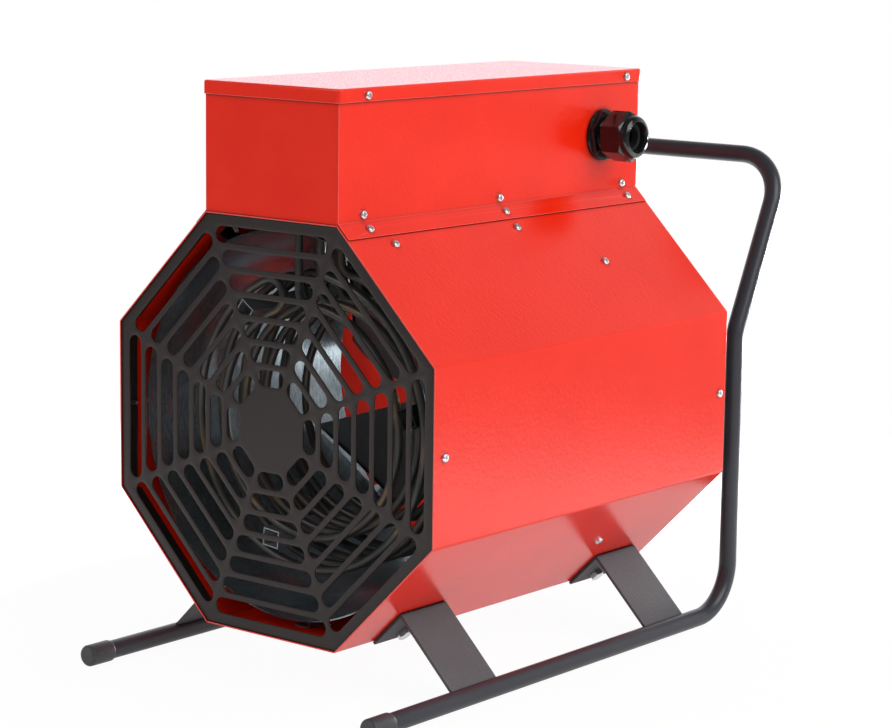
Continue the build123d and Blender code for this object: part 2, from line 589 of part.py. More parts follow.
# ---------------------------------------------------------------- control box
gland_plane = Plane(
    origin=(BOX_HALF, FRONT_Y + CASING_LENGTH - GLAND_FROM_REAR, AXIS_Z + HALF_WIDTH + GLAND_HEIGHT),
    x_dir=(0, 1, 0), z_dir=(1, 0, 0),
)
KNOB_Z = HALF_WIDTH + BOX_HEIGHT - KNOB_DROP
BOX_REAR_Y = FRONT_Y + CASING_LENGTH - BOX_SETBACK
knob_planes = {
    name: Plane(origin=(x, BOX_REAR_Y, AXIS_Z + KNOB_Z), x_dir=(-1, 0, 0), z_dir=(0, 1, 0))
    for name, x in (("selector", KNOB_SPREAD / 2), ("thermostat", -KNOB_SPREAD / 2))
}
lamp_plane = Plane(
    origin=(0, BOX_REAR_Y, AXIS_Z + KNOB_Z + LAMP_RISE), x_dir=(-1, 0, 0), z_dir=(0, 1, 0)
)
LAMP_RADIUS = LAMP_DIAMETER / 2

with BuildPart() as control_box:
    slope = SKIRT / ROOT2
    corner = SIDE / 2
    with BuildSketch(section(BOX_SETBACK)):
        with BuildLine():
            Polyline(
                (BOX_HALF, BOX_TOP),
                (BOX_HALF, HALF_WIDTH + corner - BOX_HALF + SHEET * ROOT2),
                (corner + slope + SHEET / ROOT2, HALF_WIDTH - slope + SHEET / ROOT2),
                (corner + slope, HALF_WIDTH - slope),
                (BOX_HALF - SHEET, HALF_WIDTH + corner - BOX_HALF + SHEET),
                (BOX_HALF - SHEET, BOX_TOP),
                close=True,
            )
        make_face()
        mirror(about=Plane.YZ)
    extrude(amount=-BOX_LENGTH)
    for wall_depth in (BOX_SETBACK, BOX_SETBACK + BOX_LENGTH - SHEET):
        with BuildSketch(section(wall_depth)):
            with Locations((0, (HALF_WIDTH + PIN_GAP + BOX_TOP) / 2)):
                Rectangle(2 * BOX_HALF - SHEET, BOX_TOP - HALF_WIDTH - PIN_GAP)
        extrude(amount=-SHEET)
    with Locations(*tray_places, *skirt_places, *lid_places):
        Hole(SHANK_HOLE, DRILL)
    with Locations(gland_plane):
        Hole(GLAND_THREAD / 2 + PIN_GAP, DRILL)
    with Locations(*knob_planes.values()):
        Hole(SPINDLE_DIAMETER / 2 + CUT, DRILL)
    with Locations(lamp_plane):
        Hole(LAMP_RADIUS + PIN_GAP, DRILL)
save(control_box, "control_box")

with BuildPart() as box_lid:
    lid_x = 2 * (BOX_HALF + LID_OVERHANG)
    lid_y = BOX_LENGTH + 2 * LID_OVERHANG
    lid_top = AXIS_Z + HALF_WIDTH + BOX_HEIGHT
    with BuildSketch(Plane((0, FRONT_Y + CASING_LENGTH / 2, lid_top))):
        RectangleRounded(lid_x, lid_y, LID_CORNER)
    extrude(amount=-LID_FLANGE)
    fillet(box_lid.edges().group_by(Axis.Z)[-1], LID_ROUND)
    with BuildSketch(Plane((0, FRONT_Y + CASING_LENGTH / 2, lid_top - SHEET))):
        RectangleRounded(lid_x - 2 * SHEET, lid_y - 2 * SHEET, LID_CORNER - SHEET)
    extrude(amount=-LID_FLANGE, mode=Mode.SUBTRACT)
    with Locations(*lid_places):
        Hole(SHANK_HOLE, DRILL)
save(box_lid, "box_lid")

with BuildPart() as component_tray:
    tray_half = BOX_HALF - SHEET - FIT_GAP
    tray_base = HALF_WIDTH + PIN_GAP
    tray_edge = tray_base + CUT    # sides step up over the bent corners of the casing
    tray_foot = SIDE / 2 - BEND_RADIUS
    with BuildSketch(section(BOX_SETBACK + SHEET + TRAY_INSET)):
        with BuildLine():
            Polyline(
                (0, tray_base), (tray_foot, tray_base), (tray_half, tray_edge),
                (tray_half, tray_base + TRAY_RISE), (tray_half - SHEET, tray_base + TRAY_RISE),
                (tray_half - SHEET, tray_edge + SHEET), (tray_foot, tray_base + SHEET),
                (0, tray_base + SHEET), close=True,
            )
        make_face()
        mirror(about=Plane.YZ)
    extrude(amount=2 * (SHEET + TRAY_INSET) - BOX_LENGTH)
    with BuildSketch(Plane((0, FRONT_Y + ELEMENT_MIDDLE, PLATE_Z))):
        Rectangle(OPENING[0] + 2 * (PLATE_LAP + CUT), OPENING[1] + 2 * (PLATE_LAP + CUT))
    extrude(amount=SHEET, mode=Mode.SUBTRACT)
    with Locations(*tray_places):
        Hole(SHANK_HOLE, DRILL)
save(component_tray, "component_tray")

# ---------------------------------------------------------------- parts inside the box
TRAY_TOP = AXIS_Z + HALF_WIDTH + SHEET + 2 * PIN_GAP

CONTACTOR_DEPTH = CASING_LENGTH - CONTACTOR_INSET
TERMINAL_DEPTH = CONTACTOR_DEPTH + TERMINAL_GAP
with BuildPart() as contactors:
    for contactor_x in (-BOX_HALF * 0.43, BOX_HALF * 0.24):
        for contactor_length, contactor_height in CONTACTOR_SIZES:
            with BuildSketch(Plane((contactor_x, FRONT_Y + CONTACTOR_DEPTH, TRAY_TOP))):
                RectangleRounded(CONTACTOR_WIDTH, contactor_length, 2)
            extrude(amount=contactor_height)
save(contactors, "contactors")

with BuildPart() as terminal_block:
    with BuildSketch(Plane((0, FRONT_Y + TERMINAL_DEPTH, TRAY_TOP))):
        Rectangle(*TERMINAL_SIZE)
    extrude(amount=TERMINAL_HEIGHT)
    way_pitch = TERMINAL_SIZE[0] / (TERMINAL_WAYS + 0.2)
    with BuildSketch(Plane((0, FRONT_Y + TERMINAL_DEPTH, TRAY_TOP + TERMINAL_HEIGHT * 0.65))):
        for row in (-1, 1):
            with Locations((0, row * TERMINAL_SIZE[1] * 0.37)):
                with GridLocations(way_pitch, 0, TERMINAL_WAYS, 1):
                    Rectangle(way_pitch * 0.73, TERMINAL_SIZE[1] / 3)
    extrude(amount=TERMINAL_HEIGHT, mode=Mode.SUBTRACT)
save(terminal_block, "terminal_block")

SWITCH_FACE = CASING_LENGTH - BOX_SETBACK - SHEET - PIN_GAP
with BuildPart() as selector_switch:
    with BuildSketch(section(SWITCH_FACE)):
        with Locations((KNOB_SPREAD / 2, KNOB_Z)):
            RectangleRounded(SWITCH_SIZE, SWITCH_SIZE, 4)
    extrude(amount=SWITCH_DEPTH)
    with Locations(knob_planes["selector"]):
        Hole(SPINDLE_DIAMETER / 2 + PIN_GAP, SPINDLE_LENGTH + CUT)
save(selector_switch, "selector_switch")

with BuildPart() as thermostat:
    with BuildSketch(section(SWITCH_FACE)):
        with Locations((-KNOB_SPREAD / 2, KNOB_Z)):
            Circle(THERMOSTAT_SIZE / 2)
            Rectangle(THERMOSTAT_SIZE * 1.16, THERMOSTAT_SIZE * 0.68)
    extrude(amount=THERMOSTAT_DEPTH)
    with Locations(knob_planes["thermostat"]):
        Hole(SPINDLE_DIAMETER / 2 + PIN_GAP, SPINDLE_LENGTH + CUT)
save(thermostat, "thermostat")

CUTOUT_DEPTH = (ELEMENT_LAST + DUCT_REAR) / 2 - CUTOUT_DIAMETER
with BuildPart() as overheat_cutout:
    with BuildSketch(Plane((0, FRONT_Y + CUTOUT_DEPTH, AXIS_Z + DUCT_RADIUS - CUT))):
        Circle(CUTOUT_DIAMETER / 2)
    extrude(amount=CUTOUT_HEIGHT + CUT)
    with BuildSketch(section(CUTOUT_DEPTH - CUTOUT_DIAMETER)):
        Circle(DUCT_RADIUS + PIN_GAP)
    extrude(amount=-2 * CUTOUT_DIAMETER, mode=Mode.SUBTRACT)
save(overheat_cutout, "overheat_cutout")

with BuildPart() as pilot_lamp:
    for lamp_base, lamp_radius, lamp_height in (
        (-24.0, LAMP_RADIUS, 24.0), (0.0, LAMP_RADIUS + CUT, 3.0), (3.0, LAMP_RADIUS - 0.5, 2.5),
    ):
        with BuildSketch(lamp_plane.offset(lamp_base)):
            Circle(lamp_radius)
        extrude(amount=lamp_height)
    fillet(pilot_lamp.edges().filter_by(GeomType.CIRCLE).group_by(Axis.Y)[-1], 1.8)
save(pilot_lamp, "pilot_lamp")

# ---------------------------------------------------------------- knobs
KNOB_RADIUS = KNOB_DIAMETER / 2
GRIP_RADIUS = KNOB_RADIUS - 4.0
for knob_name, wall in knob_planes.items():
    base = wall.offset(FIT_GAP)
    with BuildPart() as knob:
        with BuildSketch(base):
            Circle(KNOB_RADIUS)
        extrude(amount=KNOB_SKIRT)
        with BuildSketch(base.offset(KNOB_SKIRT)):
            Circle(GRIP_RADIUS)
        extrude(amount=KNOB_HEIGHT - KNOB_SKIRT, taper=4)
        fillet(knob.edges().filter_by(GeomType.CIRCLE).group_by(Axis.Y)[-1], 2)
        with BuildSketch(base.offset(KNOB_SKIRT * 2)):
            with PolarLocations(GRIP_RADIUS + 1, KNOB_GRIPS):
                Circle(2.2)
        extrude(amount=KNOB_HEIGHT, mode=Mode.SUBTRACT)
        # pointer groove across the face, upright at rest
        with BuildSketch(base.offset(KNOB_HEIGHT - 1)):
            with Locations((0, GRIP_RADIUS / 2)):
                Rectangle(1.6, GRIP_RADIUS)
        extrude(amount=KNOB_HEIGHT, mode=Mode.SUBTRACT)
        with BuildSketch(base):
            Circle(SPINDLE_DIAMETER / 2)
        extrude(amount=-SPINDLE_LENGTH)
    save(knob, f"{knob_name}_knob")

# ---------------------------------------------------------------- cable gland
SLEEVE_RADIUS = GLAND_THREAD / 2 - 1
gland_shoulder = gland_plane.offset(GLAND_BODY)
with BuildPart() as gland_body:
    with BuildSketch(gland_plane.offset(PIN_GAP)):
        Circle(GLAND_HEX / ROOT3)
    extrude(amount=GLAND_WASHER)
    with BuildSketch(gland_plane.offset(GLAND_WASHER)):
        RegularPolygon(GLAND_HEX / 2, 6, major_radius=False, rotation=GLAND_TURNS[0])
    extrude(amount=GLAND_BODY - GLAND_WASHER)
    with BuildSketch(gland_shoulder):
        Circle(SLEEVE_RADIUS)
    extrude(amount=GLAND_NECK + GLAND_COLLAR)
    with BuildSketch(gland_plane.offset(PIN_GAP)):
        Circle(GLAND_THREAD / 2)
    extrude(amount=-PIN_GAP - SHEET - 2 * LOCKNUT_THICK)
    with Locations(gland_shoulder.offset(GLAND_NECK + GLAND_COLLAR)):
        Hole(GLAND_BORE / 2)
save(gland_body, "cable_gland_body")

with BuildPart() as gland_locknut:
    with BuildSketch(gland_plane.offset(-SHEET - PIN_GAP)):
        RegularPolygon(GLAND_HEX / 2 + 1, 6, major_radius=False)
        Circle(GLAND_THREAD / 2 + PIN_GAP, mode=Mode.SUBTRACT)
    extrude(amount=-LOCKNUT_THICK)
save(gland_locknut, "cable_gland_locknut")

nut_start = gland_shoulder.offset(GLAND_NECK)
nose_length = GLAND_REACH - GLAND_BODY - GLAND_NECK
with BuildPart() as gland_nut:
    with BuildSketch(nut_start):
        RegularPolygon(GLAND_HEX / 2, 6, major_radius=False, rotation=GLAND_TURNS[1])
    extrude(amount=nose_length * NUT_HEXAGON)
    with BuildSketch(nut_start.offset(nose_length * NUT_HEXAGON)):
        Circle(GLAND_HEX / 2 - 0.8)
    extrude(amount=nose_length * (1 - NUT_HEXAGON))
    fillet(gland_nut.edges().group_by(Axis.X)[-1], nose_length * 0.2)
    with BuildSketch(nut_start):
        Circle(SLEEVE_RADIUS + PIN_GAP)
    extrude(amount=GLAND_COLLAR + PIN_GAP, mode=Mode.SUBTRACT)
    with BuildSketch(nut_start):
        Circle(GLAND_BORE / 2 + 1)
    extrude(amount=nose_length, mode=Mode.SUBTRACT)
    with BuildSketch(nut_start.offset(nose_length)):
        Circle(GLAND_MOUTH / 2)
    extrude(amount=-GLAND_WASHER, taper=20, mode=Mode.SUBTRACT)
save(gland_nut, "cable_gland_nut")

with BuildPart() as gland_seal:
    with BuildSketch(nut_start.offset(GLAND_COLLAR + 2 * PIN_GAP)):
        Circle(GLAND_BORE / 2 + 1 - PIN_GAP)
        Circle(GLAND_BORE / 2 + 1 - SEAL_WALL, mode=Mode.SUBTRACT)
    extrude(amount=SEAL_LENGTH)
save(gland_seal, "cable_gland_seal")

# ---------------------------------------------------------------- tube frame, legs and feet
UPRIGHT_Y = FRONT_Y + CASING_LENGTH + UPRIGHT_GAP
KINK_HEIGHT = AXIS_Z + KINK_RISE
HANDLE_HEIGHT = AXIS_Z + HALF_WIDTH + HANDLE_RISE
HANDLE_Y = UPRIGHT_Y + HANDLE_REACH
NOSE_Y = FRONT_Y - SKID_NOSE
TUBE_START = NOSE_Y + CAP_FACE + PIN_GAP
skid_height = CAP_DIAMETER / 2
with BuildPart() as frame_tube:
    with BuildLine() as frame_route:
        FilletPolyline(
            (SKID_X, TUBE_START, skid_height),
            (SKID_X, UPRIGHT_Y, skid_height),
            (SKID_X, UPRIGHT_Y, KINK_HEIGHT),
            (SKID_X, HANDLE_Y, HANDLE_HEIGHT),
            (-SKID_X, HANDLE_Y, HANDLE_HEIGHT),
            (-SKID_X, UPRIGHT_Y, KINK_HEIGHT),
            (-SKID_X, UPRIGHT_Y, skid_height),
            (-SKID_X, TUBE_START, skid_height),
            radius=[TUBE_BEND, KINK_BEND, TUBE_BEND, TUBE_BEND, KINK_BEND, TUBE_BEND],
        )
    with BuildSketch(Plane((SKID_X, TUBE_START, skid_height), z_dir=(0, 1, 0))):
        Circle(FRAME_TUBE / 2)
        Circle(FRAME_TUBE / 2 - FRAME_WALL, mode=Mode.SUBTRACT)
    sweep(path=frame_route.wire())
save(frame_tube, "frame_tube")

for side_name, side in (("right", 1), ("left", -1)):
    cap_plane = Plane((side * SKID_X, NOSE_Y, skid_height), x_dir=(1, 0, 0), z_dir=(0, 1, 0))
    with BuildPart() as foot_cap:
        with BuildSketch(cap_plane):
            Circle(CAP_DIAMETER / 2)
        extrude(amount=CAP_LENGTH)
        fillet(foot_cap.edges().group_by(Axis.Y)[0], CAP_FACE)
        with BuildSketch(cap_plane.offset(CAP_FACE)):
            Circle(FRAME_TUBE / 2 + PIN_GAP)
        extrude(amount=CAP_LENGTH, mode=Mode.SUBTRACT)
    save(foot_cap, f"foot_cap_{side_name}")


def leg_bracket(side, depth):
    """Angle strap: a flange bolted under the sloping facet, and a leg welded to the skid."""
    with BuildPart() as strap:
        seat = HALF_WIDTH + PIN_GAP
        with BuildSketch(facet(-45, depth)) as angle:
            with BuildLine():
                Polyline(
                    (seat, STRAP_ALONG), (SKID_OUT, STRAP_ALONG), (SKID_OUT, STRAP_ALONG - STRAP),
                    (seat + STRAP, STRAP_ALONG - STRAP), (seat + STRAP, STRAP_END),
                    (seat, STRAP_END), close=True,
                )
            make_face()
            fillet(angle.vertices().group_by(Axis.X)[0].sort_by(Axis.Y)[-1], 2)
            with Locations((SKID_OUT, SKID_ALONG)):
                Circle(FRAME_TUBE / 2 + PIN_GAP, mode=Mode.SUBTRACT)
        extrude(amount=-STRAP_WIDTH)
        with Locations(*bolt_places):
            Hole(BOLT_HOLE, DRILL)
        if side < 0:
            mirror(about=Plane.YZ, mode=Mode.REPLACE)
    return strap


for end_name, leg_depth in zip(("front", "rear"), LEG_DEPTHS):
    for side_name, side in (("right", 1), ("left", -1)):
        save(leg_bracket(side, leg_depth), f"leg_bracket_{end_name}_{side_name}")


# ---------------------------------------------------------------- screws and bolts
def pan_head_screw(length):
    """Plain pan-head screw, its head standing on the local XY plane."""
    with BuildPart() as screw:
        Cylinder(SCREW_HEAD / 2, SCREW_HEAD_HEIGHT, align=(Align.CENTER, Align.CENTER, Align.MIN))
        fillet(screw.edges().group_by(Axis.Z)[-1], SCREW_HEAD_HEIGHT * 0.7)
        Cylinder(SCREW_SHANK / 2, length, align=(Align.CENTER, Align.CENTER, Align.MAX))
    return screw.part


for group_name, places, screw_length in (
    ("lid_screws", lid_places, SCREW_LENGTH),
    ("box_base_screws", tray_places, SCREW_LENGTH),
    ("box_skirt_screws", skirt_places, SCREW_LENGTH),
    ("duct_screws", duct_places, SCREW_LENGTH),
    ("motor_bracket_screws", motor_places, SCREW_LENGTH),
    ("grille_screws", grille_places, SCREW_LENGTH),
    ("motor_screws", motor_screw_places, MOTOR_SCREW_LENGTH),
):
    blank = pan_head_screw(screw_length)
    with BuildPart() as screws:
        with Locations(*places):
            add(blank)
    save(screws, group_name)

with BuildPart() as bolt_blank:
    with BuildSketch():
        RegularPolygon(BOLT_HEX / 2, 6, major_radius=False)
    extrude(amount=BOLT_HEAD)
    Cylinder(BOLT_THREAD / 2, BOLT_LENGTH, align=(Align.CENTER, Align.CENTER, Align.MAX))
with BuildPart() as nut_blank:
    with BuildSketch():
        RegularPolygon(BOLT_HEX / 2, 6, major_radius=False)
        Circle(BOLT_THREAD / 2 + PIN_GAP, mode=Mode.SUBTRACT)
    extrude(amount=-NUT_HEIGHT)
with BuildPart() as leg_bolts:
    with Locations(*[place.offset(2 * PIN_GAP) for place in bolt_places]):
        add(bolt_blank.part)
with BuildPart() as leg_nuts:
    with Locations(*[place.offset(-STRAP - SHEET - PIN_GAP) for place in bolt_places]):
        add(nut_blank.part)
save(leg_bolts, "leg_bolts")
save(leg_nuts, "leg_nuts")
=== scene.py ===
# %% [markdown]
# # A forced air heater, dressed for its portrait
#
# The heater is an octagonal casing of red sheet with a box on top, carried by a frame of bent
# tube. Through the grille at its front show a galvanised duct, five ring elements and a fan.
# The CAD model gives the true shapes, and here it gets its finishes. The pieces whose small
# forms catch the light are made again as numpy surfaces in the same place: the bent tube, the
# rubber feet, the ring elements, the fan, the screws and bolts, the cable gland and the grilles.
# Everything is in metres: +X is right, the warm air leaves towards -Y, and the floor is Z = 0.

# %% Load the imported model
import math

import bmesh
import bpy
import numpy as np
from mathutils import Matrix, Vector


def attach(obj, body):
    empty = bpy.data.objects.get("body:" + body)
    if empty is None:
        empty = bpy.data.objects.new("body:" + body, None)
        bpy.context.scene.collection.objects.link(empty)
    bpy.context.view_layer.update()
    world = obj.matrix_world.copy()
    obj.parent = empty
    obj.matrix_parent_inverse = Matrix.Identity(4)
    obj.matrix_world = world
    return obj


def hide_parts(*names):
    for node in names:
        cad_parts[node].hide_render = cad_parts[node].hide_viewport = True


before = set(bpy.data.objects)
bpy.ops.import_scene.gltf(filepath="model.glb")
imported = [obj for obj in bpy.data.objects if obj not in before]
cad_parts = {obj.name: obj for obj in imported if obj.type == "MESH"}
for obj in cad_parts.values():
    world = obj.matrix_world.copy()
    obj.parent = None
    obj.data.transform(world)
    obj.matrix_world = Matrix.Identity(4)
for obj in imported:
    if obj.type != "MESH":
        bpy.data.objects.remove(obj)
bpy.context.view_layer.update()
print("nodes in the packed model:", len(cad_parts))

# %% [markdown]
# ## The camera
#
# The photograph was taken from a little above, with a long lens, so the sides of the heater
# stay almost parallel. A camera is a place, a direction and a roll. They could be set by eye,
# but the corners of the octagon give them exactly, so the numbers are written down. The three
# angles make the camera's own axes: forward, then level and upright across it, and the roll
# turns the last two in their plane.

# %% Camera
AZIMUTH, ELEVATION, ROLL = np.radians([39.222, 9.752, 0.739])
CAMERA_PLACE = (1.71226, -2.10620, 0.74581)
LENS, SENSOR = 110.07, 36.0

forward = np.array([
    -np.sin(AZIMUTH) * np.cos(ELEVATION), np.cos(AZIMUTH) * np.cos(ELEVATION), -np.sin(ELEVATION),
])
level = np.array([np.cos(AZIMUTH), np.sin(AZIMUTH), 0.0])
upright = np.cross(level, forward)
camera_x = np.cos(ROLL) * level + np.sin(ROLL) * upright
camera_y = np.cos(ROLL) * upright - np.sin(ROLL) * level

camera_data = bpy.data.cameras.new("camera")
camera_data.sensor_fit = "HORIZONTAL"
camera_data.sensor_width = SENSOR
camera_data.lens = LENS
camera = bpy.data.objects.new("camera", camera_data)
camera_turn = Matrix(np.stack([camera_x, camera_y, -forward], -1).tolist()).to_4x4()
camera.matrix_world = Matrix.Translation(CAMERA_PLACE) @ camera_turn
bpy.context.scene.collection.objects.link(camera)
bpy.context.scene.camera = camera
print("camera at", [round(v, 3) for v in camera.location])

# %% [markdown]
# ## Helpers for finishes
#
# Every finish is a Principled shader fed by procedural textures, so it needs no pictures. The
# textures read Object coordinates: these are metres here, so a grain of 1 mm is written as
# such and stays in place when a piece moves. All finishes are wired from the same few steps,
# so each step is a function, and most of them give back the socket that the next one reads.

# %% Nodes and textures
def add(tree, kind, **settings):
    """A new node; each setting is put on the socket of that name, or else on the node itself."""
    node = tree.nodes.new("ShaderNode" + kind)
    for key, value in settings.items():
        socket = node.inputs.get(key.replace("_", " "))
        if socket is None:
            setattr(node, key, value)
        else:
            socket.default_value = value
    return node


def new_finish(name, **sockets):
    """A material, its tree, its shader and the Object coordinates, with plain values set."""
    material = bpy.data.materials.new(name)
    material.use_nodes = True
    tree = material.node_tree
    shader = tree.nodes["Principled BSDF"]
    for key, value in sockets.items():
        shader.inputs[key.replace("_", " ")].default_value = value
    place = add(tree, "TexCoord").outputs["Object"]
    return material, tree, shader, place


def grain(tree, place, size, detail=2.0, stretch=(1, 1, 1)):
    """Noise from 0 to 1 whose blots are about size metres wide.

    The place is multiplied by the stretch, so a number below 1 makes them longer on its axis."""
    scaled = add(tree, "Mapping", Scale=stretch)
    noise = add(tree, "TexNoise", Scale=1.0 / size, Detail=detail, Roughness=0.55)
    tree.links.new(place, scaled.inputs["Vector"])
    tree.links.new(scaled.outputs["Vector"], noise.inputs["Vector"])
    return noise.outputs["Fac"]


def relief(tree, shader, height, depth, before=None):
    """Bump of that depth in metres from a height of 0 to 1, on top of an earlier normal."""
    node = add(tree, "Bump", Strength=1.0, Distance=depth)
    tree.links.new(height, node.inputs["Height"])
    if before is not None:
        tree.links.new(before, node.inputs["Normal"])
    tree.links.new(node.outputs["Normal"], shader.inputs["Normal"])
    return node.outputs["Normal"]


# %% Sums on sockets
def ramp(tree, factor, *stops):
    """Colour that runs through the stops (place, colour) as the factor goes from 0 to 1."""
    node = add(tree, "ValToRGB")
    while len(node.color_ramp.elements) < len(stops):
        node.color_ramp.elements.new(0.5)
    for element, (where, colour) in zip(node.color_ramp.elements, stops):
        element.position = where
        element.color = (*colour, 1.0)
    tree.links.new(factor, node.inputs["Fac"])
    return node.outputs["Color"]


def spread(tree, factor, low, high, start=0.3, end=0.7):
    """Straight line from low to high as the factor goes from start to end, and flat outside."""
    node = add(tree, "MapRange", From_Min=start, From_Max=end, To_Min=low, To_Max=high)
    tree.links.new(factor, node.inputs["Value"])
    return node.outputs["Result"]


def combine(tree, operation, first, second):
    """Two values made one: their product (MULTIPLY) or the larger of them (MAXIMUM)."""
    node = add(tree, "Math", operation=operation)
    tree.links.new(first, node.inputs[0])
    tree.links.new(second, node.inputs[1])
    return node.outputs[0]


def dot(tree, vector, direction):
    """Dot product of a vector with a direction, which is a socket or three plain numbers."""
    node = add(tree, "VectorMath", operation="DOT_PRODUCT")
    tree.links.new(vector, node.inputs[0])
    if isinstance(direction, tuple):
        node.inputs[1].default_value = direction
    else:
        tree.links.new(direction, node.inputs[1])
    return node.outputs["Value"]


def tinted(tree, colour, tint):
    """One colour multiplied by another."""
    node = add(tree, "MixRGB", blend_type="MULTIPLY", Fac=1.0)
    tree.links.new(colour, node.inputs["Color1"])
    tree.links.new(tint, node.inputs["Color2"])
    return node.outputs["Color"]


def two_tone(tree, factor, dark, light):
    """Colour from dark to light over the middle of a grain."""
    return ramp(tree, factor, (0.3, dark), (0.7, light))


def roughness_by(tree, shader, factor, shine, start=0.3, end=0.7):
    """Roughness from the first to the second number of shine as the factor goes up."""
    tree.links.new(spread(tree, factor, *shine, start, end), shader.inputs["Roughness"])


# %% [markdown]
# ## Powder coat
#
# Powder paint is sprayed dry and baked, and it flows out into a skin with a fine orange peel.
# Two layers of noise make it: a wide, shallow one for the peel and a fine one for the grain.
# The fine one also changes the roughness a little, so highlights break up. The same function
# makes the red of the sheet, the near-black of the grilles, the satin black of the tube, and
# the coarse coat of the straps.
#
# Two things show where sheets meet. A seam is a dark line of painted shade, because little light
# gets in: the Ambient Occlusion node measures that. Along a fold the sheet is rounded and catches
# the light, so a pale line of painted highlight goes there: the Bevel node gives a normal that is
# rounded there, and where it turns away from the true normal, the colour goes paler. Both could
# be modelled, but the lines are only about a millimetre wide, so the material is the better
# place. Inside the casing the red is seen without gloss, so it is matt there.

# %% Edges and insides of coated sheet
SEAM_REACH, FOLD_RADIUS = 0.005, 0.0009
MIDDLE = (0.0, 0.0, 0.25)
# Painted shade in seams, and the colour of the painted highlight along folds.
SEAM_SHADE, OPEN_AIR = (0.50, 0.50, 0.50), (1.0, 1.0, 1.0)
PAINTED_FOLD_HIGHLIGHT = (1.0, 0.36, 0.31, 1.0)


def matt_inside(tree, shader, place, layer):
    """Gloss and a clear layer on the outside only.

    The outside is where the normal points away from the middle of the heater, so its dot
    product with the way from the middle is above 0. A steep line makes that a switch."""
    from_middle = add(tree, "VectorMath", operation="SUBTRACT")
    from_middle.inputs[1].default_value = MIDDLE
    tree.links.new(place, from_middle.inputs[0])
    normal = add(tree, "TexCoord").outputs["Normal"]
    outwards = dot(tree, from_middle.outputs["Vector"], normal)
    for socket, inside, outside in (("Specular IOR Level", 0.05, 0.5), ("Coat Weight", 0.0, layer)):
        tree.links.new(spread(tree, outwards, inside, outside, -0.01, 0.01), shader.inputs[socket])


def paint_fold_highlights(tree, colour, rounded, openness):
    """The colour, with a painted highlight along the folds, where the rounded sheet catches light.

    Its share is a product: how far the rounded normal turns from the true one, times how open
    the place is, so that a seam gets no pale line."""
    straight = dot(tree, rounded, add(tree, "NewGeometry").outputs["Normal"])
    turned_away = spread(tree, straight, 0.7, 0.0, 0.94, 0.998)
    outer_edge = spread(tree, openness, 0.0, 1.0, 0.80, 0.96)
    fold_highlight = add(tree, "MixRGB", Color2=PAINTED_FOLD_HIGHLIGHT)
    tree.links.new(combine(tree, "MULTIPLY", turned_away, outer_edge), fold_highlight.inputs["Fac"])
    tree.links.new(colour, fold_highlight.inputs["Color1"])
    return fold_highlight.outputs["Color"]


# %% Powder coats
def powder_coat(name, dark, light, shine, peel, fine, layer=0.0):
    """Coat from dark to light, with peel and fine as pairs of width and depth in metres.

    A coat with a clear layer on it is the red one, which is matt inside and has a painted highlight
    on folds."""
    material, tree, shader, place = new_finish(
        name, IOR=1.45, Coat_Weight=layer, Coat_Roughness=0.12, Coat_IOR=1.5
    )
    wide = grain(tree, place, peel[0])
    small = grain(tree, place, fine[0], detail=1.0)
    cloud = grain(tree, place, 0.09, detail=3.0)
    # Painted shade: the Ambient Occlusion factor darkens the colour in seams and crevices.
    seam = add(tree, "AmbientOcclusion", Distance=SEAM_REACH, samples=8)
    tree.links.new(two_tone(tree, cloud, dark, light), seam.inputs["Color"])
    openness = seam.outputs["AO"]
    shade = ramp(tree, openness, (0.3, SEAM_SHADE), (0.95, OPEN_AIR))
    colour = tinted(tree, seam.outputs["Color"], shade)
    rounded = add(tree, "Bevel", Radius=FOLD_RADIUS, samples=4).outputs["Normal"]
    if layer:
        matt_inside(tree, shader, place, layer)
        # Painted highlight: a paler red where the sheet is folded and catches light.
        colour = paint_fold_highlights(tree, colour, rounded, openness)
    tree.links.new(colour, shader.inputs["Base Color"])
    roughness_by(tree, shader, small, shine)
    peeled = relief(tree, shader, wide, peel[1], rounded)
    relief(tree, shader, small, fine[1], peeled)
    return material


finishes = {}
for name, *values in (
    ("red_powder_coat", (0.80, 0.0175, 0.0028), (0.86, 0.022, 0.0045), (0.15, 0.27),
     (0.0042, 0.00020), (0.0012, 0.00008), 0.05),
    ("dark_grille_coat", (0.0190, 0.0120, 0.0100), (0.0235, 0.0150, 0.0128), (0.42, 0.58),
     (0.0035, 0.00010), (0.0009, 0.00008)),
    ("black_tube_coat", (0.029, 0.032, 0.040), (0.037, 0.040, 0.050), (0.28, 0.40),
     (0.0040, 0.00010), (0.0010, 0.00005)),
    # The fan's black coat is painted mid grey: painted light for the light that reaches the blades
    # through the grille.
    ("black_fan_coat", (0.150, 0.155, 0.160), (0.175, 0.180, 0.185), (0.28, 0.38),
     (0.0050, 0.00010), (0.0012, 0.00004)),
    ("strap_coat", (0.072, 0.075, 0.082), (0.092, 0.095, 0.103), (0.52, 0.68),
     (0.0032, 0.00030), (0.0011, 0.00016)),
):
    finishes[name] = powder_coat(name, *values)
print("powder coats:", ", ".join(finishes))
